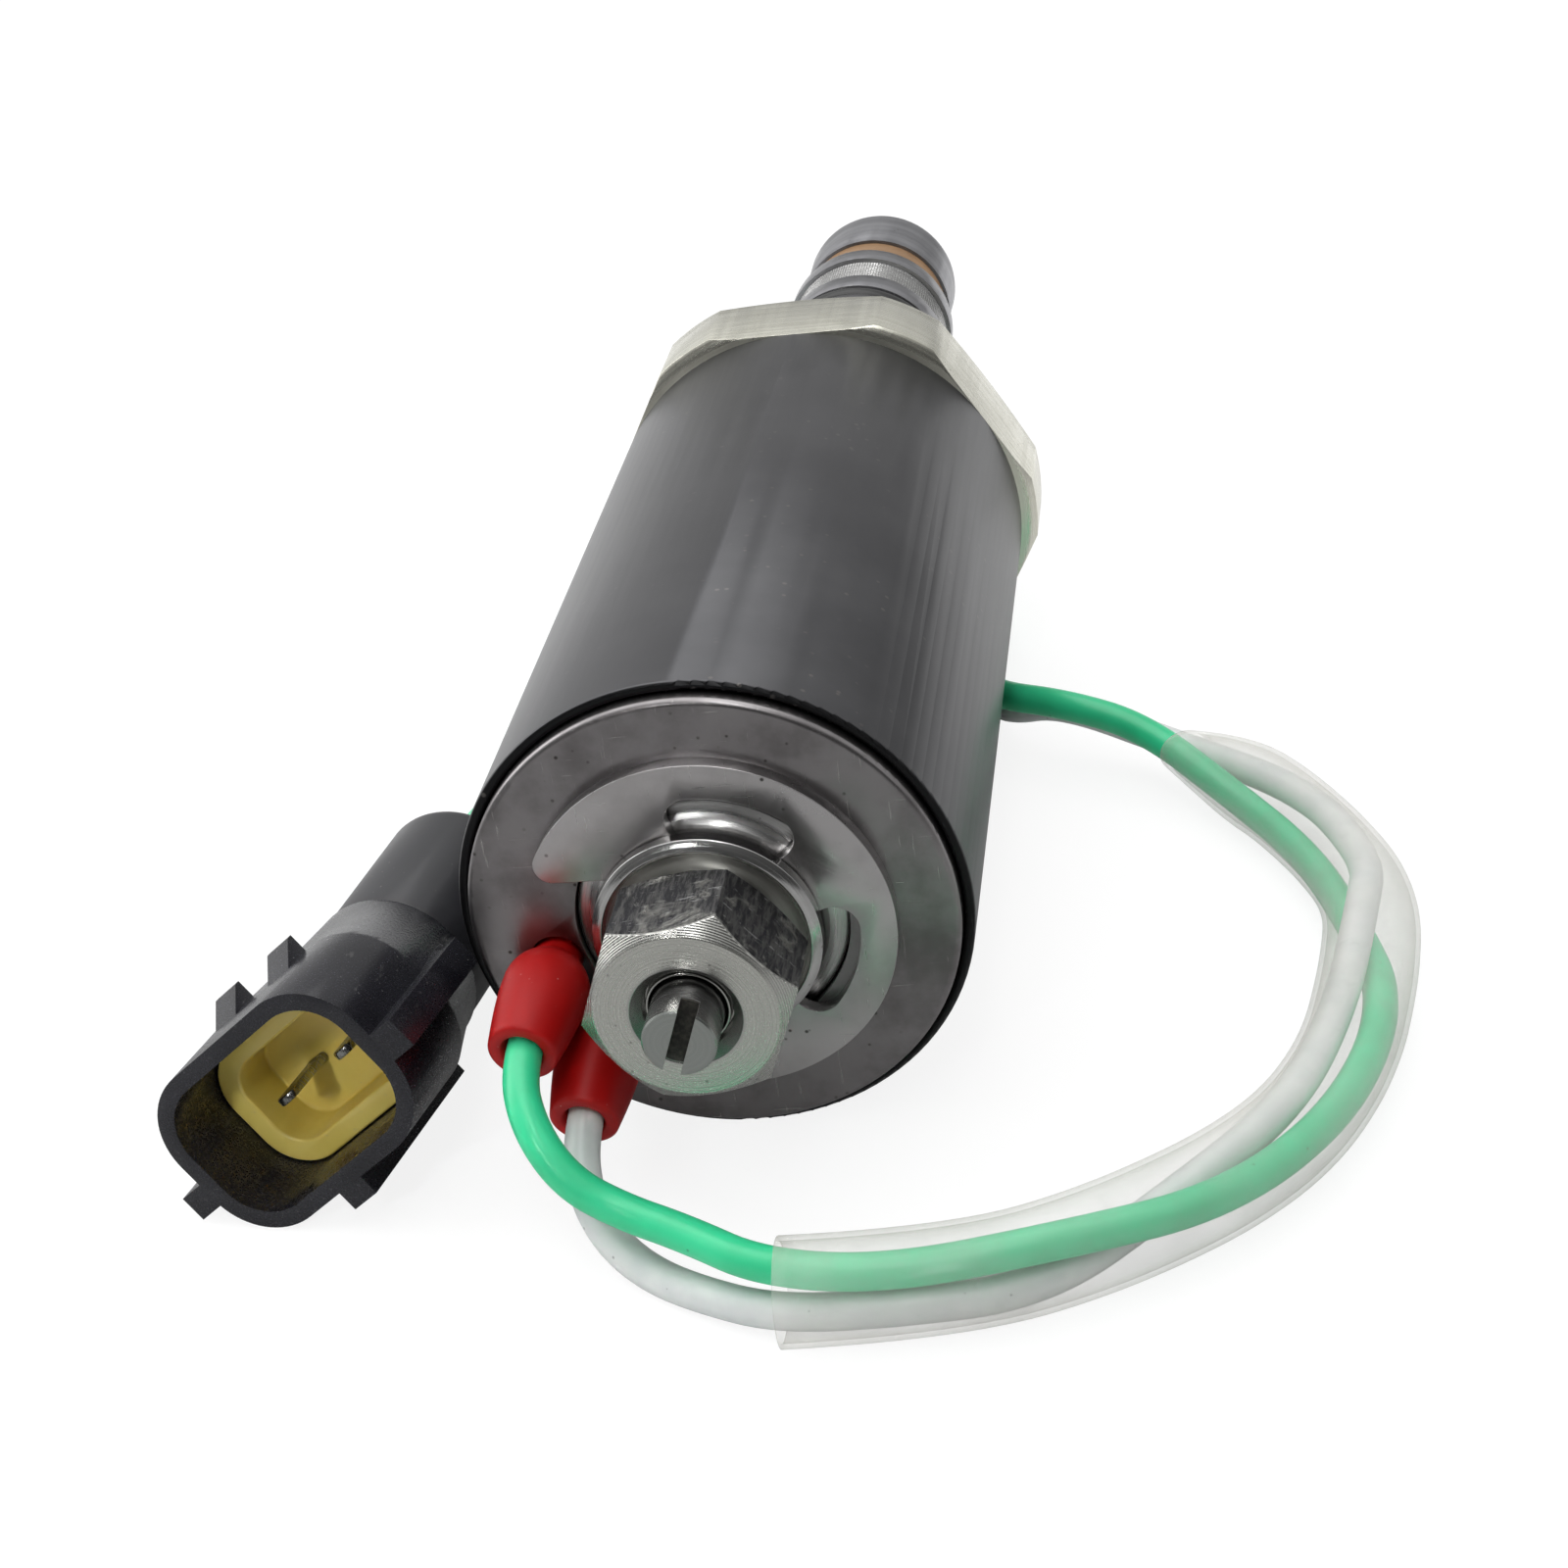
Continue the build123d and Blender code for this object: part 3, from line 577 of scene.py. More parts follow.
def softened(
    node: str, name: str, material: bpy.types.Material, width: float, steps: int = 2, angle: float = 30.0,
    shape: bpy.types.Mesh | None = None, sectors: int = 0,
) -> bpy.types.Object:
    """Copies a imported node's mesh, or takes a finer shape, breaks its edges and replaces the node.

    Args:
        node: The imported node.
        name: Name of the new piece.
        material: Its material.
        width: Width of the broken edge, in millimetres.
        steps: Number of strips across each edge.
        angle: Least angle of an edge that is broken, in degrees.
        shape: Mesh to take in place of the node's own.
        sectors: Number of sectors that its flat ring faces are kept in, so that none closes on itself.

    Returns:
        The new piece, riding on the node's body.
    """
    source = frame["nodes"][node]
    form = bmesh.new()
    form.from_mesh(shape or source.data)
    bmesh.ops.remove_doubles(form, verts=form.verts, dist=2 * SAME_POINT)
    bmesh.ops.dissolve_degenerate(form, edges=form.edges, dist=SAME_POINT)
    if sectors:
        mark_sectors(form, sectors)
    bmesh.ops.dissolve_limit(
        form, angle_limit=math.radians(FLAT_ANGLE), verts=form.verts, edges=form.edges, delimit={"SEAM"},
    )
    mesh = bpy.data.meshes.new(name)
    form.to_mesh(mesh)
    form.free()
    holder = add_piece(name + "_holder", mesh, material)
    bevel = holder.modifiers.new("edges", "BEVEL")
    bevel.width = width * MM
    bevel.segments = steps
    bevel.limit_method = "ANGLE"
    bevel.angle_limit = math.radians(angle)
    bevel.harden_normals = True
    bevel.use_clamp_overlap = True
    bevel.miter_outer = "MITER_ARC"
    result = evaluated_mesh(holder)
    bpy.data.objects.remove(holder)
    piece = add_piece(name, result, material)
    settle(piece, source["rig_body"], node)
    return piece


def settle(piece: bpy.types.Object, body: str, *nodes: str, slot: str | None = None) -> bpy.types.Object:
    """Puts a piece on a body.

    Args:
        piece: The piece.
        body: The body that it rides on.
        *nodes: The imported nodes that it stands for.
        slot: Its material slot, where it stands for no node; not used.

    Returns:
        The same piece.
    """
    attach(piece, body)
    if nodes:
        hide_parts(*nodes)
        slot = slot or NODE_SLOTS[nodes[0]]
    faces = len(piece.data.polygons) if piece.type == "MESH" else 0
    LOG.info("piece %s on %s, faces %d", piece.name, body, faces)
    return piece


def dress(material: bpy.types.Material, *nodes: str) -> None:
    """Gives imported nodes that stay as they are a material.

    Args:
        material: The material.
        *nodes: The nodes.
    """
    for node in nodes:
        data = frame["nodes"][node].data
        data.materials.clear()
        data.materials.append(material)
        LOG.info("node %s dressed", node)


# Finishes


@dataclass(frozen=True)
class CoatedCan:
    """Smooth black coat on drawn steel, with faint draw lines along the can and painted shade on its rim."""

    colour: Colour = (0.075, 0.075, 0.079)
    worn: Colour = (0.13, 0.13, 0.135)
    # Painted shade: near-black colour of the rim's front face, where can and end plate meet.
    rim: Colour = (0.010, 0.010, 0.011)
    dust: Colour = (0.18, 0.17, 0.16)
    roughness: float = 0.36
    rim_radii: tuple[float, float] = (0.01797, 0.01790)
    rim_stations: tuple[float, float] = (0.0030, 0.0020)

    def material(self) -> bpy.types.Material:
        """Builds the material.

        Returns:
            The material.
        """
        paint = Paint("black_coated_steel")
        cloud = paint.noise(90, 4)
        streak = paint.noise(1.0, 4, 0.6, paint.stretched(2600, 90, 2600))
        # Painted shade: the rim's front face is painted near black.
        on_shaded_rim = paint.radius().step(*self.rim_radii) * paint.station().step(*self.rim_stations)
        colour = paint.mixed(cloud.step(0.35, 0.75) * 0.35, self.colour, self.worn)
        colour = paint.mixed(on_shaded_rim, colour, self.rim)
        specks = paint.specks(700, 0.16) * cloud.step(0.45, 0.6)
        colour = paint.mixed(specks * 0.5, colour, self.dust)
        rough = self.roughness + streak * 0.04 - 0.02 + cloud * 0.06
        bump = paint.bump(streak * 0.4 + paint.noise(1800, 2) * 0.4, 0.05, 0.00002)
        return paint.done(
            Base_Color=colour, Metallic=0.82, Roughness=rough, Normal=bump, Coat_Weight=0.12,
            Coat_Roughness=0.3,
        )


@dataclass(frozen=True)
class SatinSheet:
    """Plated sheet steel with a satin face, pits, stains and hair scratches."""

    name: str
    colour: Colour
    stain: Colour
    roughness: float = 0.33

    def material(self) -> bpy.types.Material:
        """Builds the material.

        Returns:
            The material.
        """
        paint = Paint(self.name)
        cloud = paint.noise(150, 5, 0.6)
        grain = paint.noise(3200, 2)
        scratch = paint.noise(1.0, 3, 0.6, paint.stretched(3400, 3000, 220))
        cross = paint.noise(1.0, 3, 0.6, paint.stretched(200, 3000, 2900))
        pits = paint.specks(900, 0.17) * paint.noise(260, 2).step(0.5, 0.62)
        colour = paint.mixed(cloud.step(0.38, 0.68), self.colour, self.stain)
        hair = scratch.step(0.66, 0.72) + cross.step(0.68, 0.73)
        colour = paint.mixed(hair * 0.35, colour, (0.62, 0.61, 0.58))
        colour = paint.mixed(pits * 0.8, colour, (0.05, 0.045, 0.04))
        rough = self.roughness + cloud * 0.14 - 0.07 + pits * 0.3 - hair * 0.06
        bump = paint.bump(grain * 0.5 + hair * -0.5 + pits * -1.0, 0.2, 0.00003)
        return paint.done(Base_Color=colour, Metallic=1.0, Roughness=rough, Normal=bump)


@dataclass(frozen=True)
class TurnedSteel:
    """Turned metal whose tool marks run round the valve's axis; where dish_r is set, its dished face carries
    painted shade.
    """

    name: str
    colour: Colour
    shade: Colour
    roughness: float = 0.24
    mark_depth: float = 0.00002
    mark_scale: float = 6500.0
    # Radius inside which the dished face is painted darker as painted shade; 0 for none.
    dish_r: float = 0.0
    dish_edge: float = 0.0003
    dish_starts: tuple[float, float] = (-0.0020, -0.0024)
    rim_radii: tuple[float, float] = (0.0079, 0.0081)
    dirt: Colour = (0.06, 0.055, 0.05)

    def material(self) -> bpy.types.Material:
        """Builds the material.

        Returns:
            The material.
        """
        paint = Paint(self.name)
        radius, station = paint.radius(), paint.station()
        marks = paint.lines(radius, self.mark_scale, 3) * 0.5 + paint.lines(station, self.mark_scale, 3) * 0.5
        broad = paint.lines(radius + station * 0.7, 900, 2)
        cloud = paint.noise(240, 4, 0.6)
        pits = paint.specks(1100, 0.15) * cloud.step(0.52, 0.62)
        if self.dish_r:
            marks = paint.lines(radius, self.mark_scale, 3)
            broad = paint.lines(radius, 1500, 2)
        colour = paint.mixed(broad.step(0.3, 0.7) * 0.5 + cloud.step(0.4, 0.7) * 0.4, self.colour, self.shade)
        colour = paint.mixed(pits * 0.7, colour, self.dirt)
        rough = self.roughness + marks.step(0.35, 0.65) * 0.12 + cloud * 0.06 - 0.05
        if self.dish_r:
            # Painted shade: the dished recess is mixed toward the darker tone and made rougher.
            in_shaded_dish = radius.step(self.dish_r, self.dish_r - self.dish_edge) * station.step(*self.dish_starts)
            colour = paint.mixed(in_shaded_dish * 0.35, colour, self.shade)
            rough = rough + in_shaded_dish * 0.16 + radius.step(*self.rim_radii) * 0.12
        bump = paint.bump(marks + pits * -0.5, 0.45, self.mark_depth)
        return paint.done(Base_Color=colour, Metallic=1.0, Roughness=rough, Normal=bump)


@dataclass(frozen=True)
class WrenchedSteel:
    """Turned steel whose flats are painted darker all over as painted shade, and darker still in smears where
    a wrench has slipped.
    """

    name: str = "wrenched_stainless"
    colour: Colour = (0.60, 0.60, 0.56)
    # Painted shade on every flat, mixed with wrench smears.
    flat_shade_and_smear: Colour = (0.055, 0.055, 0.06)
    groove: Colour = (0.25, 0.25, 0.26)
    dirt: Colour = (0.08, 0.075, 0.07)
    face_start: float = -0.0126
    face_r: float = 0.00615
    chamfer_slope: float = 0.87
    ring_pitch: float = 48000.0
    flat_lifts: tuple[float, float] = (0.00006, 0.00016)
    cone_lifts: tuple[float, float] = (0.00012, 0.00004)
    back_stations: tuple[float, float] = (-0.0049, -0.0052)
    flat_radii: tuple[float, float] = (0.0062, 0.0064)
    cone_radii: tuple[float, float] = (0.00615, 0.0063)
    flat_end_stations: tuple[float, float] = (-0.0068, -0.0057)
    mouth_radii: tuple[float, float] = (0.0040, 0.0038)

    def material(self) -> bpy.types.Material:
        """Builds the material.

        Returns:
            The material.
        """
        paint = Paint(self.name)
        radius, station = paint.radius(), paint.station()
        lift = station - self.face_start - (radius - self.face_r) * self.chamfer_slope
        on_flat = lift.step(*self.flat_lifts) * station.step(*self.back_stations)
        on_flat = on_flat * radius.step(*self.flat_radii)
        on_cone = lift.step(*self.cone_lifts) * radius.step(*self.cone_radii)
        patch = paint.noise(300, 4, 0.6, bend=1.2).step(0.33, 0.47)
        # Darker towards the back end of each flat and towards its front chamfer, broken up by the drag noise.
        flat_end_darkening = station.step(*self.flat_end_stations) + lift.step(0.0009, 0.0003) * 0.6
        drag = paint.noise(1.0, 5, 0.75, paint.stretched(2600, 420, 2600)).step(0.38, 0.62)
        nick = paint.noise(1.0, 4, 0.7, paint.stretched(500, 2600, 700)).step(0.62, 0.68)
        rings = (radius * self.ring_pitch).math("SINE") * 0.5 + 0.5
        marks = paint.lines(radius, 7500, 3)
        fine = paint.noise(5200, 3)
        spots = paint.specks(1500, 0.2) * paint.noise(300, 2).step(0.5, 0.6)
        colour = paint.mixed(marks.step(0.3, 0.7) * 0.35, self.colour, (0.46, 0.46, 0.43))
        colour = paint.mixed(on_cone * rings * 0.5, colour, self.groove)
        # Painted shade and wear: every flat is darkened, more so in the smeared patches.
        colour = paint.mixed(on_flat * (0.25 + patch * (0.55 + drag * 0.25)), colour, self.flat_shade_and_smear)
        colour = paint.mixed(on_flat * flat_end_darkening * drag * 0.8, colour, (0.03, 0.03, 0.03))
        colour = paint.mixed(on_flat * nick * 0.55, colour, (0.6, 0.6, 0.6))
        colour = paint.mixed(spots * 0.6, colour, self.dirt)
        in_mouth = radius.step(*self.mouth_radii)
        colour = paint.mixed(in_mouth * 0.5, colour, (0.36, 0.36, 0.355))
        rough = 0.19 + marks * 0.10 * (1 - in_mouth) + on_flat * patch * 0.22 + fine * 0.06
        turned = marks * 0.35 * (1 - on_flat) * (1 - in_mouth) + on_cone * rings * 0.8
        worn = on_flat * (drag * 0.9 + fine * 0.5 + nick * 0.8 + patch * 1.5)
        bump = paint.bump(turned + worn, 0.5, 0.00004)
        return paint.done(Base_Color=colour, Metallic=1.0, Roughness=rough, Normal=bump)


@dataclass(frozen=True)
class SlottedSteel:
    """Turned screw end whose driver slot is painted dark, as painted shade in the deep slot and as old
    grease.
    """

    colour: Colour = (0.36, 0.38, 0.36)
    slot_shade_and_grease: Colour = (0.020, 0.018, 0.015)
    crumb: Colour = (0.06, 0.055, 0.045)
    slot_turn: float = 69.0
    slot_half: float = 0.00066
    slot_edge: float = 0.00004
    tip: float = -0.0156
    face_fade: tuple[float, float] = (0.00004, 0.00012)
    depth_fade: tuple[float, float] = (0.0018, 0.0016)
    side_fade: tuple[float, float] = (0.0001, 0.0004)

    def material(self) -> bpy.types.Material:
        """Builds the material.

        Returns:
            The material.
        """
        paint = Paint("slotted_steel")
        turn = math.radians(self.slot_turn)
        station = paint.station()
        across = (paint.x * -math.sin(turn) + (paint.z - AXIS_Z * MM) * math.cos(turn)).math("ABSOLUTE")
        behind_face, above_floor, on_lit_side = (
            station.step(*(self.tip + place for place in fade))
            for fade in (self.face_fade, self.depth_fade, self.side_fade)
        )
        # Painted shade and grease: the slot is painted near black, less metallic and rougher.
        in_shaded_slot = across.step(self.slot_half, self.slot_half - self.slot_edge) * behind_face * above_floor
        marks = paint.lines(station + paint.radius(), 5200, 3)
        crumbs = paint.noise(2600, 4, 0.7)
        colour = paint.mixed(marks.step(0.3, 0.7) * 0.4, self.colour, (0.30, 0.31, 0.30))
        # Painted light: the turned side is painted lighter than the end face.
        colour = paint.mixed(on_lit_side * 0.7, colour, (0.50, 0.49, 0.50))
        colour = paint.mixed(in_shaded_slot, colour, paint.mixed(crumbs.step(0.4, 0.7), self.slot_shade_and_grease, self.crumb))
        rough = 0.2 + marks * 0.1 + in_shaded_slot * 0.35
        bump = paint.bump(marks * 0.12 + in_shaded_slot * crumbs * 2.0, 0.4, 0.00004)
        return paint.done(Base_Color=colour, Metallic=1.0 - in_shaded_slot * 0.8, Roughness=rough, Normal=bump)


@dataclass(frozen=True)
class SoftRubber:
    """Moulded rubber or soft plastic with a slight bloom."""

    name: str
    colour: Colour
    bloom: Colour
    roughness: float = 0.3
    coat: float = 0.35
    grain: float = 2600.0
    specular: float = 0.5

    def material(self) -> bpy.types.Material:
        """Builds the material.

        Returns:
            The material.
        """
        paint = Paint(self.name)
        cloud = paint.noise(170, 4)
        grain = paint.noise(self.grain, 2)
        dust = paint.specks(1300, 0.12) * cloud.step(0.5, 0.62)
        colour = paint.mixed(cloud.step(0.4, 0.75) * 0.5 + grain * 0.15, self.colour, self.bloom)
        colour = paint.mixed(dust * 0.35, colour, (0.6, 0.55, 0.5))
        rough = self.roughness + cloud * 0.12 - 0.06
        bump = paint.bump(grain * 0.6 + cloud * 1.5, 0.16, 0.00006)
        return paint.done(
            Base_Color=colour, Roughness=rough, Normal=bump, Coat_Weight=self.coat, Coat_Roughness=0.16,
            Specular_IOR_Level=self.specular,
        )


@dataclass(frozen=True)
class Insulation:
    """Extruded lead insulation: smooth, slightly waxy, with a few dark specks."""

    name: str
    colour: Colour
    deep: Colour

    def material(self) -> bpy.types.Material:
        """Builds the material.

        Returns:
            The material.
        """
        paint = Paint(self.name)
        cloud = paint.noise(240, 3)
        ripple = paint.noise(700, 3)
        specks = paint.specks(520, 0.075)
        colour = paint.mixed(cloud.step(0.35, 0.7), self.colour, self.deep)
        colour = paint.mixed(specks * 0.6, colour, tuple(0.2 * c for c in self.colour))
        rough = 0.3 + ripple * 0.12
        bump = paint.bump(ripple, 0.18, 0.00008)
        return paint.done(
            Base_Color=colour, Roughness=rough, Normal=bump, Coat_Weight=0.2, Coat_Roughness=0.25,
            Subsurface_Weight=0.12, Subsurface_Radius=(0.6, 1.0, 0.7), Subsurface_Scale=0.0008,
        )


@dataclass(frozen=True)
class ClearTube:
    """Clear soft tube: open in the middle, denser and yellower where it is seen edge on."""

    colour: Colour = (0.86, 0.84, 0.72)
    middle: Colour = (0.78, 0.77, 0.73)
    thinnest: float = 0.09
    densest: float = 0.45

    def material(self) -> bpy.types.Material:
        """Builds the material.

        Returns:
            The material.
        """
        paint = Paint("clear_tube")
        edge = Sock(paint, paint.node("ShaderNodeLayerWeight", None, {"Blend": 0.42}).outputs["Facing"])
        haze = paint.noise(130, 4)
        streak = paint.noise(420, 4, 0.6)
        alpha = self.thinnest + haze.step(0.35, 0.75) * 0.08 + (edge ** 2.2) * self.densest
        alpha = alpha + streak.step(0.6, 0.75) * 0.06
        colour = paint.mixed(edge ** 2.0, self.middle, self.colour)
        bump = paint.bump(streak + haze, 0.2, 0.0002)
        return paint.done(
            Base_Color=colour, Roughness=0.16 + haze * 0.14, Alpha=alpha, Normal=bump, Coat_Weight=0.6,
            Coat_Roughness=0.1,
        )


@dataclass(frozen=True)
class MouldedPlastic:
    """Moulded hard plastic with a fine spark-eroded skin."""

    name: str
    colour: Colour
    shade: Colour
    roughness: float = 0.36
    skin: float = 5200.0
    coat: float = 0.0

    def material(self) -> bpy.types.Material:
        """Builds the material.

        Returns:
            The material.
        """
        paint = Paint(self.name)
        cloud = paint.noise(160, 4)
        grain = paint.noise(self.skin, 2)
        scuff = paint.noise(1.0, 4, 0.7, paint.stretched(900, 260, 1500)).step(0.63, 0.72)
        dust = paint.specks(1700, 0.13) * cloud.step(0.48, 0.6)
        colour = paint.mixed(cloud.step(0.3, 0.7), self.colour, self.shade)
        colour = paint.mixed(dust * 0.4 + scuff * 0.12, colour, (0.35, 0.34, 0.33))
        rough = self.roughness + grain * 0.10 - 0.05 + scuff * 0.12 - cloud * 0.05
        bump = paint.bump(grain + scuff * 0.5 + cloud * 0.8, 0.25, 0.00003)
        return paint.done(
            Base_Color=colour, Roughness=rough, Normal=bump, Coat_Weight=self.coat, Coat_Roughness=0.2,
        )


@dataclass(frozen=True)
class Winding:
    """Enamelled wire wound in close turns round the axis, with painted shade in the gaps between turns."""

    shaded_gap: Colour = (0.20, 0.07, 0.03)
    crest: Colour = (0.65, 0.30, 0.15)
    turn_pitch: float = 9000.0

    def material(self) -> bpy.types.Material:
        """Builds the material.

        Returns:
            The material.
        """
        paint = Paint("wound_copper")
        turn = (paint.station() * self.turn_pitch).math("SINE")
        # Painted shade: the gaps between turns are painted dark, the crests in the copper's colour.
        colour = paint.mixed(turn.step(-0.9, 0.9), self.shaded_gap, self.crest)
        rough = 0.3 + paint.noise(600) * 0.1
        bump = paint.bump(turn, 0.6, 0.0002)
        return paint.done(Base_Color=colour, Metallic=0.9, Roughness=rough, Normal=bump)


class Finishes:
    """Every material of the valve, built once."""

    def __init__(self) -> None:
        """Builds the materials."""
        self.case = CoatedCan().material()
        self.plate = SatinSheet("plated_sheet", (0.29, 0.277, 0.28), (0.19, 0.178, 0.18), 0.32).material()
        self.clip = SatinSheet("sprung_sheet", (0.54, 0.525, 0.525), (0.42, 0.405, 0.405), 0.3).material()
        self.stainless = TurnedSteel(
            "turned_stainless", (0.58, 0.58, 0.57), (0.38, 0.375, 0.37), 0.17,
        ).material()
        self.collared = TurnedSteel(
            "collared_stainless", (0.62, 0.62, 0.61), (0.42, 0.415, 0.41), 0.15, 0.000008, dish_r=0.0071,
        ).material()
        self.wrenched = WrenchedSteel().material()
        self.slotted = SlottedSteel().material()
        self.zinc = TurnedSteel(
            "zinc_plated_steel", (0.82, 0.81, 0.72), (0.64, 0.63, 0.54), 0.24, 0.00001, 2600,
        ).material()
        self.dark_steel = TurnedSteel(
            "ground_dark_steel", (0.34, 0.34, 0.355), (0.20, 0.20, 0.21), 0.3,
        ).material()
        self.iron = TurnedSteel("soft_iron", (0.50, 0.49, 0.47), (0.38, 0.37, 0.35), 0.32).material()
        self.brass = TurnedSteel("turned_brass", (0.72, 0.54, 0.26), (0.55, 0.38, 0.16), 0.3).material()
        self.spring = TurnedSteel("spring_wire", (0.42, 0.42, 0.43), (0.25, 0.25, 0.26), 0.28).material()
        self.tinned = TurnedSteel("tinned_contact", (0.34, 0.34, 0.33), (0.2, 0.2, 0.195), 0.22).material()
        self.seal = SoftRubber(
            "seal_rubber", (0.014, 0.014, 0.014), (0.035, 0.034, 0.033), 0.4, 0.1,
        ).material()
        self.red = SoftRubber(
            "red_boot", (0.36, 0.004, 0.004), (0.40, 0.008, 0.007), 0.40, 0.0, specular=0.22,
        ).material()
        self.boot = SoftRubber(
            "plug_boot", (0.016, 0.016, 0.019), (0.030, 0.030, 0.034), 0.42, 0.15,
        ).material()
        self.green = Insulation("green_insulation", (0.035, 0.66, 0.31), (0.030, 0.58, 0.265)).material()
        self.white = Insulation("white_insulation", (0.74, 0.76, 0.75), (0.64, 0.67, 0.67)).material()
        self.clear = ClearTube().material()
        self.black = MouldedPlastic(
            "moulded_black", (0.007, 0.007, 0.010), (0.013, 0.013, 0.018), 0.30,
        ).material()
        self.yellow = MouldedPlastic(
            "moulded_yellow", (0.80, 0.64, 0.16), (0.72, 0.55, 0.11), 0.36, 1500, 0.2,
        ).material()
        self.bobbin = MouldedPlastic("filled_plastic", (0.06, 0.06, 0.06), (0.09, 0.09, 0.09), 0.5).material()
        self.tan = MouldedPlastic("tan_ring", (0.34, 0.20, 0.10), (0.26, 0.15, 0.075), 0.5).material()
        self.winding = Winding().material()


# Leads, made first


class FarEnd(Enum):
    """What a lead ends in."""

    CONNECTOR = "connector"


@dataclass(frozen=True)
class Lead:
    """One insulated lead that lies along its route from a red boot to the plug."""

    name: str
    node: str
    route: Sequence[Row]
    length: float
    diameter: float = WIRE_D

    def build(self, material: bpy.types.Material) -> bpy.types.Object:
        """Makes the lead as one smooth curve.

        Args:
            material: Its insulation.

        Returns:
            The curve, riding on the valve.
        """
        curve = route_curve(self.name, self.route)
        curve.bevel_depth = self.diameter / 2 * MM
        curve.bevel_resolution = 7
        curve.use_fill_caps = True
        curve.materials.append(material)
        piece = bpy.data.objects.new(self.name, curve)
        bpy.context.scene.collection.objects.link(piece)
        return settle(piece, BODY, self.node)

    def declare(self, piece: bpy.types.Object, on_it: Iterable[bpy.types.Object]) -> None:
        """Does nothing with the lead or the pieces on it.

        Args:
            piece: The lead's curve; not used.
            on_it: The pieces that it carries; not used.
        """


def route_curve(name: str, route: Sequence[Row]) -> bpy.types.Curve:
    """Makes a smooth curve with the route's points as its control points.

    Args:
        name: Name of the curve.
        route: Points in millimetres.

    Returns:
        The curve.
    """
    curve = bpy.data.curves.new(name, "CURVE")
    curve.dimensions = "3D"
    curve.resolution_u = 10
    spline = curve.splines.new("NURBS")
    spline.points.add(len(route) - 1)
    for point, place in zip(spline.points, route):
        point.co = (*(c * MM for c in place), 1.0)
    spline.order_u = 3
    spline.use_endpoint_u = True
    return curve


def route_points(route: Sequence[Row]) -> np.ndarray:
    """Reads points from a route's smooth curve.

    Args:
        route: Points in millimetres.

    Returns:
        The curve's own points, in millimetres.
    """
    holder = bpy.data.objects.new("route_holder", route_curve("route_holder", route))
    bpy.context.scene.collection.objects.link(holder)
    mesh = evaluated_mesh(holder)
    points = np.array([v.co[:] for v in mesh.vertices]) / MM
    bpy.data.objects.remove(holder)
    return points


GREEN_ROUTE = (
    (-12.14, -62.86, 14.35), (-12.52, -67.17, 13.54), (-11.34, -70.76, 11.29), (-8.88, -72.75, 8.23),
    (-5.42, -73.26, 6.08), (-1.00, -74.93, 5.46), (4.58, -78.30, 5.17), (12.74, -78.50, 4.59),
    (23.48, -75.86, 4.78), (33.89, -71.02, 3.66), (41.76, -61.07, 2.92), (45.64, -48.88, 3.10),
    (43.56, -37.31, 2.47), (40.61, -27.56, 2.64), (34.80, -17.80, 2.94), (28.06, -10.79, 5.53),
    (21.55, -8.45, 6.94), (14.90, -3.70, 5.75), (13.85, 2.60, 4.40), (14.10, 10.00, 3.66),
    (14.20, 18.20, 3.75), (11.30, 28.41, 2.25), (2.08, 32.58, 1.45), (-8.04, 33.49, 1.31),
    (-17.93, 29.99, 1.30), (-23.94, 21.97, 1.30), (-26.07, 9.90, 1.28), (-27.62, -3.82, 1.41),
    (-28.26, -14.03, 3.14), (-26.76, -25.00, 7.34), (-28.17, -33.88, 7.34),
)
WHITE_ROUTE = (
    (-9.12, -62.40, 8.35), (-9.38, -66.65, 7.25), (-8.85, -69.74, 4.82), (-7.12, -71.82, 2.54),
    (-4.51, -73.64, 1.28), (-1.03, -75.86, 1.29), (4.84, -78.78, 1.80), (12.29, -79.02, 2.20),
    (22.18, -76.86, 1.63), (30.30, -69.45, 2.73), (38.00, -62.73, 4.63), (42.02, -50.89, 4.07),
    (44.34, -39.33, 5.64), (45.14, -32.25, 4.71), (40.93, -20.33, 4.19), (30.17, -9.35, 3.05),
    (20.89, -5.31, 5.40), (15.85, -1.60, 2.85), (13.70, 4.90, 1.32), (12.80, 11.40, 1.30),
    (12.75, 18.60, 1.35), (7.28, 25.39, 2.32), (0.51, 29.51, 1.36), (-8.00, 29.37, 1.28),
    (-15.55, 25.04, 1.30), (-19.98, 17.53, 1.30), (-22.04, 5.94, 1.28), (-23.40, -6.80, 1.41),
    (-23.51, -15.10, 3.14), (-22.42, -25.68, 7.34), (-23.83, -34.57, 7.34),
)
SLEEVE_ROUTE = (
    (5.51, -78.81, 3.62), (16.48, -78.35, 3.62), (26.48, -74.31, 3.62), (36.90, -66.58, 3.62),
    (42.20, -56.85, 3.62), (44.52, -44.71, 3.62), (45.08, -35.95, 3.62), (42.26, -27.64, 3.62),
    (36.98, -17.88, 3.62), (31.51, -12.14, 3.62),
)
# Where the tube's far end lies flat over the two leads: its middle, and its long and short half widths
PINCH = ((31.32, -12.51, 4.01), (1.94, 2.07, -1.37), (0.58, 0.55, 1.67))


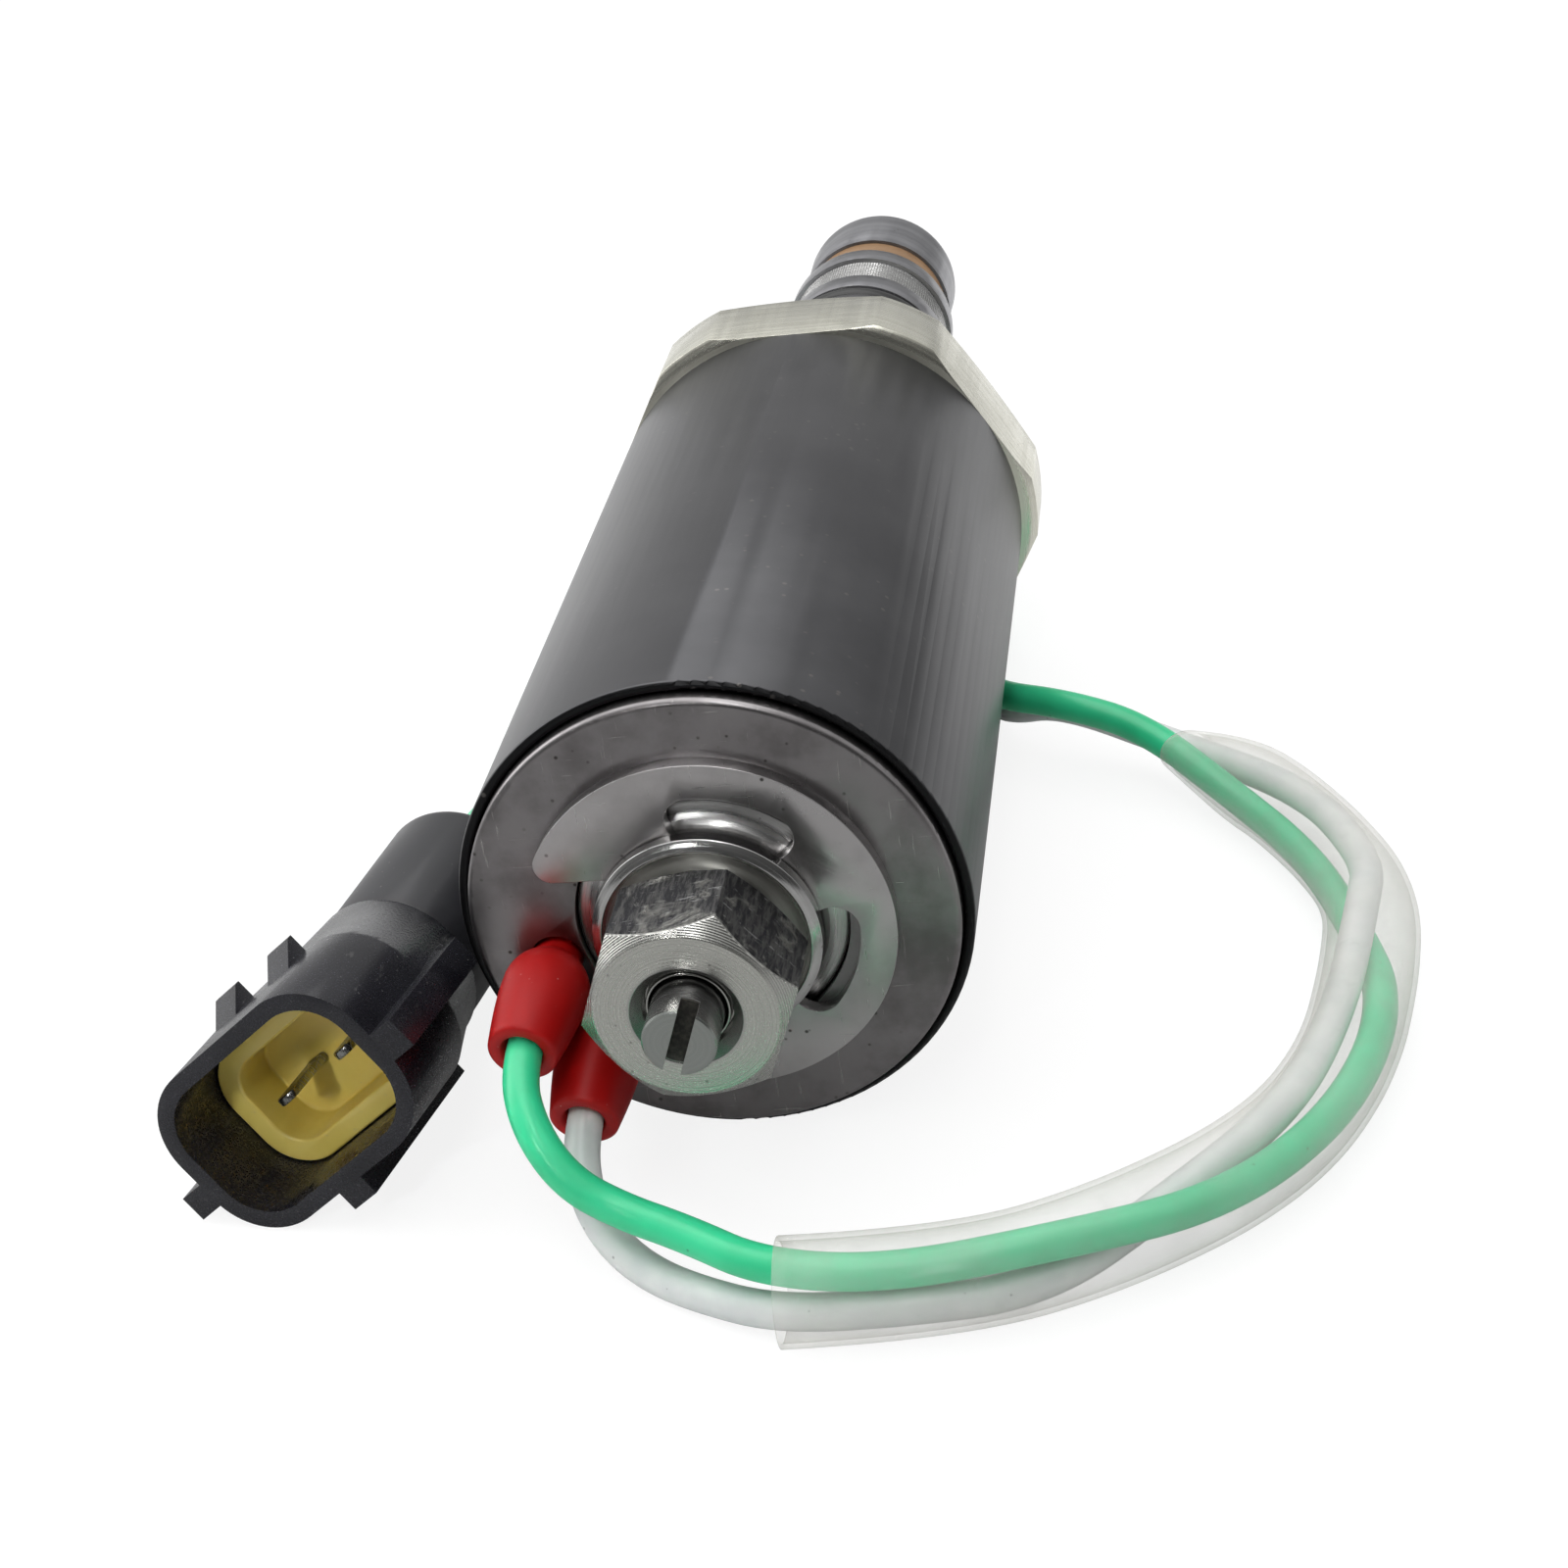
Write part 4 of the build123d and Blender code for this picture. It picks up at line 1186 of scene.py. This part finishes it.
@dataclass
class LeadSet:
    """Two leads and the clear tube that holds them together; sizes in millimetres."""

    finish: Finishes
    green: Lead = Lead("green_lead_run", "green_lead", GREEN_ROUTE, 271.3)
    white: Lead = Lead("white_lead_run", "white_lead", WHITE_ROUTE, 255.9)
    tube_segments: int = 48
    tube_edge: float = 0.05
    mouth_widening: float = 0.10
    mouth_length: float = 7.0
    sway: float = 0.015
    sway_length: float = 9.0
    pinch_length: float = 9.0
    pinch_power: float = 1.6
    pinch: tuple[Row, Row, Row] = PINCH

    def build(self) -> dict[str, bpy.types.Object]:
        """Makes the leads and their tube.

        Returns:
            The pieces by name.
        """
        return {
            "green": self.green.build(self.finish.green),
            "white": self.white.build(self.finish.white),
            "tube": self.tube(),
        }

    def tube(self) -> bpy.types.Object:
        """Makes the clear tube with a wall, a little oval at its mouth and flat at its far end.

        Returns:
            The tube.
        """
        path = route_points(SLEEVE_ROUTE)
        ahead = np.gradient(path, axis=0)
        ahead /= np.linalg.norm(ahead, axis=1)[:, None]
        side = np.cross(ahead, (0.0, 0.0, 1.0))
        side /= np.linalg.norm(side, axis=1)[:, None]
        rise = np.cross(side, ahead)
        run = np.concatenate([[0], np.cumsum(np.linalg.norm(np.diff(path, axis=0), axis=1))])
        angles = np.linspace(0, 2 * math.pi, self.tube_segments, endpoint=False)
        fading = np.exp(-run / self.mouth_length)
        wide = 1 + self.mouth_widening * fading - self.sway * np.sin(run / self.sway_length) ** 2
        flat = 1 - 0.5 * self.mouth_widening * fading
        pinch = np.clip((run - run[-1] + self.pinch_length) / self.pinch_length, 0, 1) ** self.pinch_power
        tip, tip_long, tip_short = (np.array(self.pinch[k]) for k in range(3))
        slide = np.outer(pinch, tip - path[-1])
        across, up = np.cos(angles)[:, None], np.sin(angles)[:, None]

        def ring(i: int, radius: float) -> np.ndarray:
            """Places one ring, round along the tube and flat over the two leads at its far end.

            Args:
                i: Number of the point on the tube's path.
                radius: The ring's radius.

            Returns:
                The ring's points.
            """
            round_one = wide[i] * across * side[i] + flat[i] * up * rise[i]
            flat_one = (across * tip_long + up * tip_short) / SLEEVE_R
            return path[i] + slide[i] + radius * (round_one * (1 - pinch[i]) + flat_one * pinch[i])

        inner = SLEEVE_R - SLEEVE_WALL
        last = len(path) - 1
        rings = [ring(i, SLEEVE_R - self.tube_edge) for i in range(last + 1)]
        rings += [ring(last, SLEEVE_R - SLEEVE_WALL / 2)]
        rings += [ring(i, inner) for i in range(last, -1, -1)]
        rings += [ring(0, SLEEVE_R - SLEEVE_WALL / 2)]
        return settle(skin("clear_tube_run", rings, self.finish.clear, loop=True), BODY, "clear_sleeve")


@dataclass
class RedBoot:
    """Soft red boot over one lead's joint: a bulb with a domed back and an open mouth.

    The mouth and root are places on the valve, and the lip's points are (radius, height over the mouth).
    """

    name: str
    node: str
    mouth: Row
    root: Row
    length: float
    bulb: float
    bulb_r: float = 3.05
    neck_r: float = 1.75
    neck_drop: float = 2.7
    root_gap: float = 0.1
    wall_end: float = -5.0
    bore_r: float = 1.26
    lip: tuple[Row, ...] = (
        (1.30, -0.9), (1.48, -0.12), (1.62, 0.0), (2.24, 0.0), (2.42, -0.14), (2.47, -0.4),
    )
    swell: float = 0.58
    swell_steps: int = 8
    dome: tuple[float, float, int] = (0.1, 0.93, 10)

    def build(self, material: bpy.types.Material) -> bpy.types.Object:
        """Turns the boot about its own axis.

        Args:
            material: Red rubber.

        Returns:
            The boot, riding on the valve.
        """
        out = Vector(self.mouth) - Vector(self.root)
        place = Matrix.Translation(Vector(self.mouth)) @ out.to_track_quat("Z", "Y").to_matrix().to_4x4()
        outline = [(0.0, self.wall_end), (self.bore_r, self.wall_end), *self.lip]
        rim_r, rim = self.lip[-1]
        run, steps = self.bulb + rim, self.swell_steps
        outline += [
            (rim_r + self.swell * math.sin(math.pi / 2 * t / steps), rim - run * t / steps)
            for t in range(1, steps + 1)
        ]
        outline += [
            (self.bulb_r * math.cos(a), -self.bulb - self.bulb_r * math.sin(a))
            for a in np.linspace(*self.dome)
        ]
        root = -self.length + self.root_gap
        outline += [(self.neck_r, -self.bulb - self.neck_drop), (self.neck_r, root), (0.0, root)]
        rings = in_place(lathe(outline), place)
        return settle(skin(self.name, rings, material), BODY, self.node)


RED_BOOTS = (
    RedBoot(
        "red_boot_green", "lead_boot_green", mouth=(-12.41, -65.8, 13.80), root=(-11.40, -55.35, 15.368),
        length=11.78, bulb=6.24,
    ),
    RedBoot(
        "red_boot_white", "lead_boot_white", mouth=(-9.30, -65.3, 7.60), root=(-8.695, -55.35, 10.171),
        length=11.48, bulb=5.89,
    ),
)


# Case and its end


@dataclass
class CoilCase:
    """The can, its end plate with the leads' window and the crescent ring."""

    finish: Finishes
    edge: float = 0.18
    rim_edge: float = 0.12
    lip_r: float = 8.95
    hole_r: float = 9.55

    def build(self) -> None:
        """Makes the case's visible pieces and dresses the rest."""
        softened("case", "case_can", self.finish.case, self.rim_edge)
        softened("end_plate", "case_end_plate", self.finish.plate, self.edge, shape=self.holed_plate())
        softened("crescent_ring", "crescent_clip", self.finish.clip, self.edge, 3)
        dress(self.finish.seal, "tube_seal")

    def holed_plate(self) -> bpy.types.Mesh:
        """Copies the plate with its middle hole opened out to the guide tube's hollow shoulder.

        Returns:
            The plate's mesh.
        """
        form = bmesh.new()
        form.from_mesh(frame["nodes"]["end_plate"].data)
        bmesh.ops.remove_doubles(form, verts=form.verts, dist=2 * SAME_POINT)
        for vertex in form.verts:
            up = vertex.co.z - AXIS_Z * MM
            radius = math.hypot(vertex.co.x, up)
            if radius < self.lip_r * MM:
                vertex.co.x *= self.hole_r * MM / radius
                vertex.co.z = AXIS_Z * MM + up * self.hole_r * MM / radius
        mesh = bpy.data.meshes.new("holed_plate")
        form.to_mesh(mesh)
        form.free()
        return mesh


@dataclass
class Adjuster:
    """The guide tube's head, the wrenched plug and the slotted screw.

    The outlines' points are (radius, station), and those of the plug's mouth count from its front face.
    """

    finish: Finishes
    key_af: float = 13.0
    key_turn: float = 8.0
    key_front: float = -12.6
    key_back: float = -4.95
    face_r: float = 6.15
    bore_r: float = 2.62
    shank_r: float = 5.0
    shank_end: float = 4.8
    mouth: tuple[Row, ...] = (
        (2.62, 0.95), (2.70, 0.85), (2.84, 0.9), (2.84, 1.9), (3.04, 1.9), (3.04, 0.76), (3.78, 0.0),
    )
    corner_margin: float = 0.1
    corner_front: float = 1.18
    corner_back: float = 1.0
    tube_wall: tuple[Row, ...] = (
        (5.1, 8.0), (7.15, 8.0), (7.15, 44.0), (8.2, 44.0), (8.2, 2.4), (9.45, 2.4), (9.45, -0.5),
    )
    collar: tuple[Row, ...] = (
        (7.4, -2.4), (7.82, -2.4), (7.92, -2.5), (7.92, -3.42), (7.36, -3.88), (7.18, -3.9),
    )
    shoulder_r: float = 9.4
    shoulder_in: float = 2.0
    shoulder_start: float = -0.62
    shoulder_drop: float = 1.9
    dish_radii: tuple[float, float] = (7.0, 5.1)
    dish_width: float = 2.05
    dish_rim: float = -3.9
    dish_depth: float = 1.1
    screw_r: float = 2.48
    screw_tip: float = -15.6
    screw_end: float = 6.0
    screw_core: float = 0.01
    screw_chamfer: float = 0.12
    turned_edge: float = 0.06
    screw_edge: float = 0.05
    slot_turn: float = 69.0
    slot_width: float = 1.2
    slot_depth: float = 1.5

    def build(self) -> None:
        """Makes the adjuster's visible pieces and dresses the hidden ones."""
        tube, plug, screw = self.tube_shape(), self.plug_shape(), self.screw_shape()
        edge, finish = self.turned_edge, self.finish
        softened("guide_tube", "guide_tube_head", finish.collared, edge, angle=40.0, shape=tube)
        softened("adjuster_plug", "adjuster_plug_hexagon", finish.wrenched, edge, angle=24.0, shape=plug)
        softened("adjusting_screw", "slotted_screw", finish.slotted, self.screw_edge, shape=screw)
        dress(self.finish.stainless, "spring_seat")
        dress(self.finish.spring, "preload_spring")

    def plug_shape(self) -> bpy.types.Mesh:
        """Turns a blank with a countersunk bore and mills it to a hexagon between its two chamfers.

        Returns:
            The plug's mesh.
        """
        reach = self.key_af / 2 / math.cos(math.pi / 6)
        corner = reach + self.corner_margin
        front, back, face = self.key_front, self.key_back, self.face_r
        outline = [
            (self.bore_r, self.shank_end), *((r, front + s) for r, s in self.mouth), (face, front),
            (corner, front + self.corner_front), (corner, back - self.corner_back), (face, back),
            (self.shank_r, back), (self.shank_r, self.shank_end),
        ]
        blank = skin("plug_blank", on_axis(outline), self.finish.wrenched, loop=True)
        angles = np.radians(self.key_turn + 60 * np.arange(6))
        rings = [
            np.stack([reach * np.cos(angles), np.full(6, s + DATUM_Y), AXIS_Z + reach * np.sin(angles)], 1)
            for s in (front - 1.0, self.shank_end + 1.0)
        ]
        return combined(blank, skin("plug_prism", rings, self.finish.wrenched, ends=True), Cut.INSIDE)

    def screw_shape(self) -> bpy.types.Mesh:
        """Turns a plain screw end and cuts a driver slot across its face.

        Returns:
            The screw's mesh.
        """
        tip, radius, half, depth = self.screw_tip, self.screw_r, self.slot_width / 2, self.slot_depth
        outline = [
            (self.screw_core, self.screw_end), (self.screw_core, tip), (radius - self.screw_chamfer, tip),
            (radius, tip + self.screw_chamfer), (radius, self.screw_end),
        ]
        blank = skin("screw_blank", on_axis(outline), self.finish.slotted, loop=True)
        across, up = math.cos(math.radians(self.slot_turn)), math.sin(math.radians(self.slot_turn))
        corners = [(-2 * radius, -half), (2 * radius, -half), (2 * radius, half), (-2 * radius, half)]
        rings = [
            np.array([(u * across - v * up, s + DATUM_Y, AXIS_Z + u * up + v * across) for u, v in corners])
            for s in (tip - 1.0, tip + depth)
        ]
        return combined(blank, skin("slot_cutter", rings, self.finish.slotted, ends=True), Cut.OUTSIDE)

    def tube_shape(self) -> bpy.types.Mesh:
        """Turns the guide tube with its hollow shoulder, a neck for the clip and a dished collar.

        Returns:
            The tube's mesh.
        """
        radius, start = self.shoulder_r, self.shoulder_start
        shoulder = [
            (radius - self.shoulder_in * math.sin(a), start - self.shoulder_drop * (1 - math.cos(a)))
            for a in np.linspace(0.05, 1.36, 12)
        ]
        bore = self.dish_radii[1]
        dish = [
            (r, self.dish_rim + self.dish_depth * (1 - ((r - bore) / self.dish_width) ** 2))
            for r in np.linspace(*self.dish_radii, 10)
        ]
        outline = [*self.tube_wall, *shoulder, *self.collar, *dish]
        tube = skin("tube_blank", on_axis(outline), self.finish.collared, loop=True)
        mesh = tube.data.copy()
        bpy.data.objects.remove(tube)
        return mesh


@dataclass
class Flange:
    """The plated hexagon with its threaded boss and face seal."""

    finish: Finishes
    boss_r: float = 12.0
    thread_pitch: float = 1.5
    thread_start: float = 75.3
    thread_end: float = 78.4
    ridge: float = 0.42
    ridge_sides: int = 4
    edge: float = 0.25

    def build(self) -> None:
        """Makes the hexagon and winds a thread on its boss."""
        softened("flange_hex", "flange_hexagon", self.finish.zinc, self.edge, 3, sectors=12)
        settle(self.thread(), BODY, slot="zinc_steel")
        dress(self.finish.seal, "flange_seal")

    def thread(self) -> bpy.types.Object:
        """Winds the ridges of one thread round the boss by a Geometry Nodes tree.

        Returns:
            The ridges.
        """
        grow = Grower("boss_thread")
        turns = grow.given("Turns", (self.thread_end - self.thread_start) / self.thread_pitch)
        height = grow.given("Height", (self.thread_end - self.thread_start) * MM)
        radius = grow.given("Radius", (self.boss_r - self.ridge) * MM)
        section = grow.given("Ridge", self.ridge * MM)
        spiral = grow.node("GeometryNodeCurveSpiral", None, {
            "Resolution": FINE_RING, "Rotations": turns, "Start Radius": radius, "End Radius": radius,
            "Height": height,
        })
        swept = grow.swept(spiral.outputs[0], grow.ring(self.ridge_sides, section))
        return grow.grown("boss_thread", grow.stood(swept, self.thread_start), self.finish.zinc)


@dataclass
class Cartridge:
    """The ported sleeve with its seals, woven screens, nose plug and spool."""

    finish: Finishes
    screen_r: float = 8.06
    screen_wire: float = 0.075
    screens: tuple[tuple[str, str, float], ...] = (
        ("woven_screen_rear", "port_screen_rear", 90.0), ("woven_screen_front", "port_screen_front", 104.0),
    )
    screen_width: float = 5.0
    wire_sides: int = 5
    turned_edge: float = 0.12
    nose_edge: float = 0.2
    screen_hoops: int = 18
    screen_staves: int = 190
    screen_edge: float = 0.2
    stave_edge: float = 0.1

    def build(self) -> None:
        """Makes the cartridge's visible pieces and dresses the hidden ones."""
        softened("valve_sleeve", "cartridge_sleeve", self.finish.dark_steel, self.turned_edge)
        softened("nose_plug", "nose_end_plug", self.finish.dark_steel, self.nose_edge)
        softened("nose_backup_ring", "nose_tan_ring", self.finish.tan, self.turned_edge)
        dress(self.finish.seal, "sleeve_seal_rear", "sleeve_seal_front", "nose_seal")
        dress(self.finish.spring, "snap_ring", "return_spring")
        dress(self.finish.dark_steel, "spool")
        dress(self.finish.stainless, "spring_washer")
        for name, node, start in self.screens:
            settle(self.screen(name, start), BODY, node)

    def screen(self, name: str, start: float) -> bpy.types.Object:
        """Weaves a band of fine wires by a Geometry Nodes tree.

        Args:
            name: Name of the piece.
            start: Station of the band's first edge.

        Returns:
            The band.
        """
        grow = Grower(name)
        radius = grow.given("Radius", self.screen_r * MM)
        wire = grow.given("Wire", self.screen_wire * MM)
        hoops = grow.given("Hoops", self.screen_hoops)
        staves = grow.given("Staves", self.screen_staves)
        width, edge, overhang = (size * MM for size in (self.screen_width, self.screen_edge, self.stave_edge))
        section = grow.ring(self.wire_sides, wire)
        hoop = grow.swept(grow.ring(FINE_RING, radius), section)
        places = grow.node("GeometryNodeMeshLine", {"mode": "END_POINTS"}, {
            "Count": hoops, "Start Location": (0.0, 0.0, edge), "Offset": (0.0, 0.0, width - edge),
        })
        stave_line = grow.node("GeometryNodeCurvePrimitiveLine", None, {
            "Start": (0.0, 0.0, overhang), "End": (0.0, 0.0, width - overhang),
        })
        round_points = grow.node("GeometryNodeMeshCircle", None, {"Vertices": staves, "Radius": radius})
        hoop_set = grow.repeated(places.outputs[0], hoop)
        stave_set = grow.repeated(round_points.outputs[0], grow.swept(stave_line.outputs[0], section))
        both = grow.node("GeometryNodeJoinGeometry")
        for part in (hoop_set, stave_set):
            grow.tree.links.new(part, both.inputs[0])
        return grow.grown(name, grow.stood(both.outputs[0], start), self.finish.stainless)


@dataclass
class CoilInside:
    """What the case hides: coil, armature, pole and their small rings."""

    finish: Finishes

    def build(self) -> None:
        """Dresses the hidden nodes."""
        dress(self.finish.bobbin, "coil_bobbin", "coil_wrap")
        dress(self.finish.winding, "coil_winding")
        dress(self.finish.iron, "armature", "pole_piece")
        dress(self.finish.stainless, "push_pin")
        dress(self.finish.brass, "joint_ring", "stop_washer", "pin_bush")
        dress(self.finish.tinned, "terminal_green", "terminal_white")


@dataclass
class Plug:
    """The two-way plug at the leads' end, with its yellow retainer and its boot."""

    finish: Finishes

    def build(self) -> list[bpy.types.Object]:
        """Makes the plug.

        Returns:
            Its pieces.
        """
        finish = self.finish
        rows = (
            ("connector_housing", "plug_housing", finish.black, 0.32, 3),
            ("connector_insert", "plug_retainer", finish.yellow, 0.4, 4),
            ("connector_boot", "plug_rubber_boot", finish.boot, 0.3, 3),
            ("connector_grommet", "plug_grommet", finish.boot, 0.2),
            ("contact_pin_upper", "plug_pin_upper", finish.tinned, 0.12),
            ("contact_pin_lower", "plug_pin_lower", finish.tinned, 0.12),
        )
        return [softened(*row) for row in rows]


# Studio


@dataclass(frozen=True)
class Lamp:
    """One rectangular lamp; places and sizes in metres, power in watts, spread in degrees."""

    name: str
    place: Row
    target: Row
    width: float
    depth: float
    watts: float
    spread: float = 180.0

    def build(self) -> None:
        """Adds the lamp to the scene."""
        data = bpy.data.lights.new(self.name, "AREA")
        data.shape = "RECTANGLE"
        data.size, data.size_y, data.energy = self.width, self.depth, self.watts
        data.spread = math.radians(self.spread)
        lamp = bpy.data.objects.new(self.name, data)
        lamp.location = self.place
        lamp.rotation_mode = "QUATERNION"
        lamp.rotation_quaternion = (Vector(self.target) - Vector(self.place)).to_track_quat("-Z", "Y")
        bpy.context.scene.collection.objects.link(lamp)


VALVE_MIDDLE = (0.0, 0.0, 0.015)
LAMPS = (
    Lamp("top_softbox", (-0.1, 0.1, 0.8), VALVE_MIDDLE, width=0.8, depth=0.8, watts=3.2),
    Lamp("left_softbox", (-0.7, 0.05, 0.35), VALVE_MIDDLE, width=0.4, depth=0.5, watts=1.4),
    Lamp("front_strip", (0.07, -0.36, 0.60), VALVE_MIDDLE, width=0.07, depth=0.26, watts=0.55),
    Lamp(
        "plug_fill", (-0.10, -0.34, 0.20), (-0.045, -0.066, 0.010), width=0.05, depth=0.05, watts=0.0057,
        spread=20.0,
    ),
)


def seen_straight(sheet: NodeSheet) -> tuple[Sock, Any]:
    """Tells the rays that start at the camera from the others.

    Args:
        sheet: The node sheet of a material or of the world.

    Returns:
        A value that is 1 for rays from the camera, also through clear pieces, and the ray node's outputs.
    """
    kinds = sheet.node("ShaderNodeLightPath").outputs
    through = Sock(sheet, kinds["Is Transmission Ray"])
    return Sock(sheet, kinds["Is Camera Ray"]).math("MAXIMUM", through), kinds


@dataclass
class Studio:
    """Camera, pale floor, world and lamps; the camera's place in millimetres, the floor in metres."""

    lens: float = 62.3245
    sensor: float = 36.0
    clip: tuple[float, float] = (0.01, 20.0)
    eye: Row = (38.2851, -210.6416, 116.1310)
    right: Row = (0.9825692, 0.1244532, -0.1380911)
    down: Row = (-0.0573465, -0.5036847, -0.8619821)
    ahead: Row = (-0.1768308, 0.8548761, -0.4877681)
    floor_half: float = 3.0
    floor_glow: float = 1.08
    whitening: float = 0.8
    mirrored_grey: Colour = (0.26, 0.26, 0.26)
    mirrored_haze: float = 0.32
    mirror_dimming: float = 0.8
    mirror_fade: tuple[float, float] = (0.08, -0.10)
    room_level: float = 0.36
    sky_rise: float = 0.40
    left_glow: float = 0.45
    front_shade: float = 0.85

    def camera(self) -> None:
        """Places the camera where the photograph was taken from."""
        data = bpy.data.cameras.new("camera")
        data.lens = self.lens
        data.sensor_width = self.sensor
        data.clip_start, data.clip_end = self.clip
        camera = bpy.data.objects.new("camera", data)
        turn = Matrix((self.right, [-c for c in self.down], [-c for c in self.ahead])).transposed()
        camera.matrix_world = Matrix.Translation(Vector(self.eye) * MM) @ turn.to_4x4()
        bpy.context.scene.collection.objects.link(camera)
        bpy.context.scene.camera = camera

    def floor(self) -> None:
        """Pale floor that shows white to the camera and keeps the valve's shadow."""
        paint = Paint("pale_floor")
        cloud = paint.noise(3, 2)
        colour = paint.mixed(cloud, (0.86, 0.86, 0.86), (0.88, 0.88, 0.88))
        matt = paint.node("ShaderNodeBsdfDiffuse", None, {"Color": colour})
        shade = paint.node("ShaderNodeBsdfDiffuse", None, {"Color": self.mirrored_grey})
        haze = paint.node("ShaderNodeEmission", None, {"Color": WHITE, "Strength": self.mirrored_haze})
        dim = paint.node("ShaderNodeMixShader", None, {0: 0.5, 1: shade.outputs[0], 2: haze.outputs[0]})
        glow = paint.node("ShaderNodeEmission", None, {"Color": WHITE, "Strength": self.floor_glow})
        seen, kinds = seen_straight(paint)
        mirrored = Sock(paint, kinds["Is Glossy Ray"]) * self.mirror_dimming * paint.y.step(*self.mirror_fade)
        base = paint.node("ShaderNodeMixShader", None, {0: mirrored, 1: matt.outputs[0], 2: dim.outputs[0]})
        whitened = {0: seen * self.whitening, 1: base.outputs[0], 2: glow.outputs[0]}
        mixed = paint.node("ShaderNodeMixShader", None, whitened)
        paint.node("ShaderNodeOutputMaterial", None, {"Surface": mixed.outputs[0]})
        mesh = bpy.data.meshes.new("floor")
        half = self.floor_half
        corners = [(-half, -half, 0), (half, -half, 0), (half, half, 0), (-half, half, 0)]
        mesh.from_pydata(corners, [], [(0, 1, 2, 3)])
        floor = add_piece("floor", mesh, paint.material)

    def world(self) -> None:
        """White to the camera, and a soft room light that is dimmer near the floor."""
        world = bpy.data.worlds.new("studio")
        world.use_nodes = True
        sheet = NodeSheet(world.node_tree)
        world.node_tree.nodes.clear()
        direction = sheet.node("ShaderNodeTexCoord").outputs["Generated"]
        parts = sheet.node("ShaderNodeSeparateXYZ", None, {0: direction}).outputs
        across, along, height = (Sock(sheet, part) for part in parts)
        level = height.step(-0.1, 0.9) * self.sky_rise + self.room_level
        level = level + across.step(-0.15, -0.65) * self.left_glow
        level = level * (1 - along.step(-0.15, -0.55) * height.step(0.9, 0.6) * self.front_shade)
        room = sheet.node("ShaderNodeBackground", None, {"Color": WHITE, "Strength": level})
        white = sheet.node("ShaderNodeBackground", None, {"Color": WHITE, "Strength": 1.0})
        seen, _ = seen_straight(sheet)
        mixed = sheet.node("ShaderNodeMixShader", None, {0: seen, 1: room.outputs[0], 2: white.outputs[0]})
        sheet.node("ShaderNodeOutputWorld", None, {"Surface": mixed.outputs[0]})
        bpy.context.scene.world = world

    def build(self) -> None:
        """Sets up the whole studio."""
        self.camera()
        self.floor()
        self.world()
        for lamp in LAMPS:
            lamp.build()
        bpy.context.scene.view_settings.view_transform = "Standard"


def main() -> None:
    """Builds the studio and every sub-assembly."""
    logging.basicConfig(level=logging.INFO, format="%(name)s: %(message)s")
    Studio().build()
    finish = Finishes()
    leads = LeadSet(finish)
    pieces = leads.build()
    for boot in RED_BOOTS:
        boot.build(finish.red)
    plug = Plug(finish).build()
    leads.green.declare(pieces["green"], [pieces["tube"], *plug])
    leads.white.declare(pieces["white"], plug)
    CoilCase(finish).build()
    Adjuster(finish).build()
    Flange(finish).build()
    Cartridge(finish).build()
    CoilInside(finish).build()


if __name__ == "__main__":
    main()
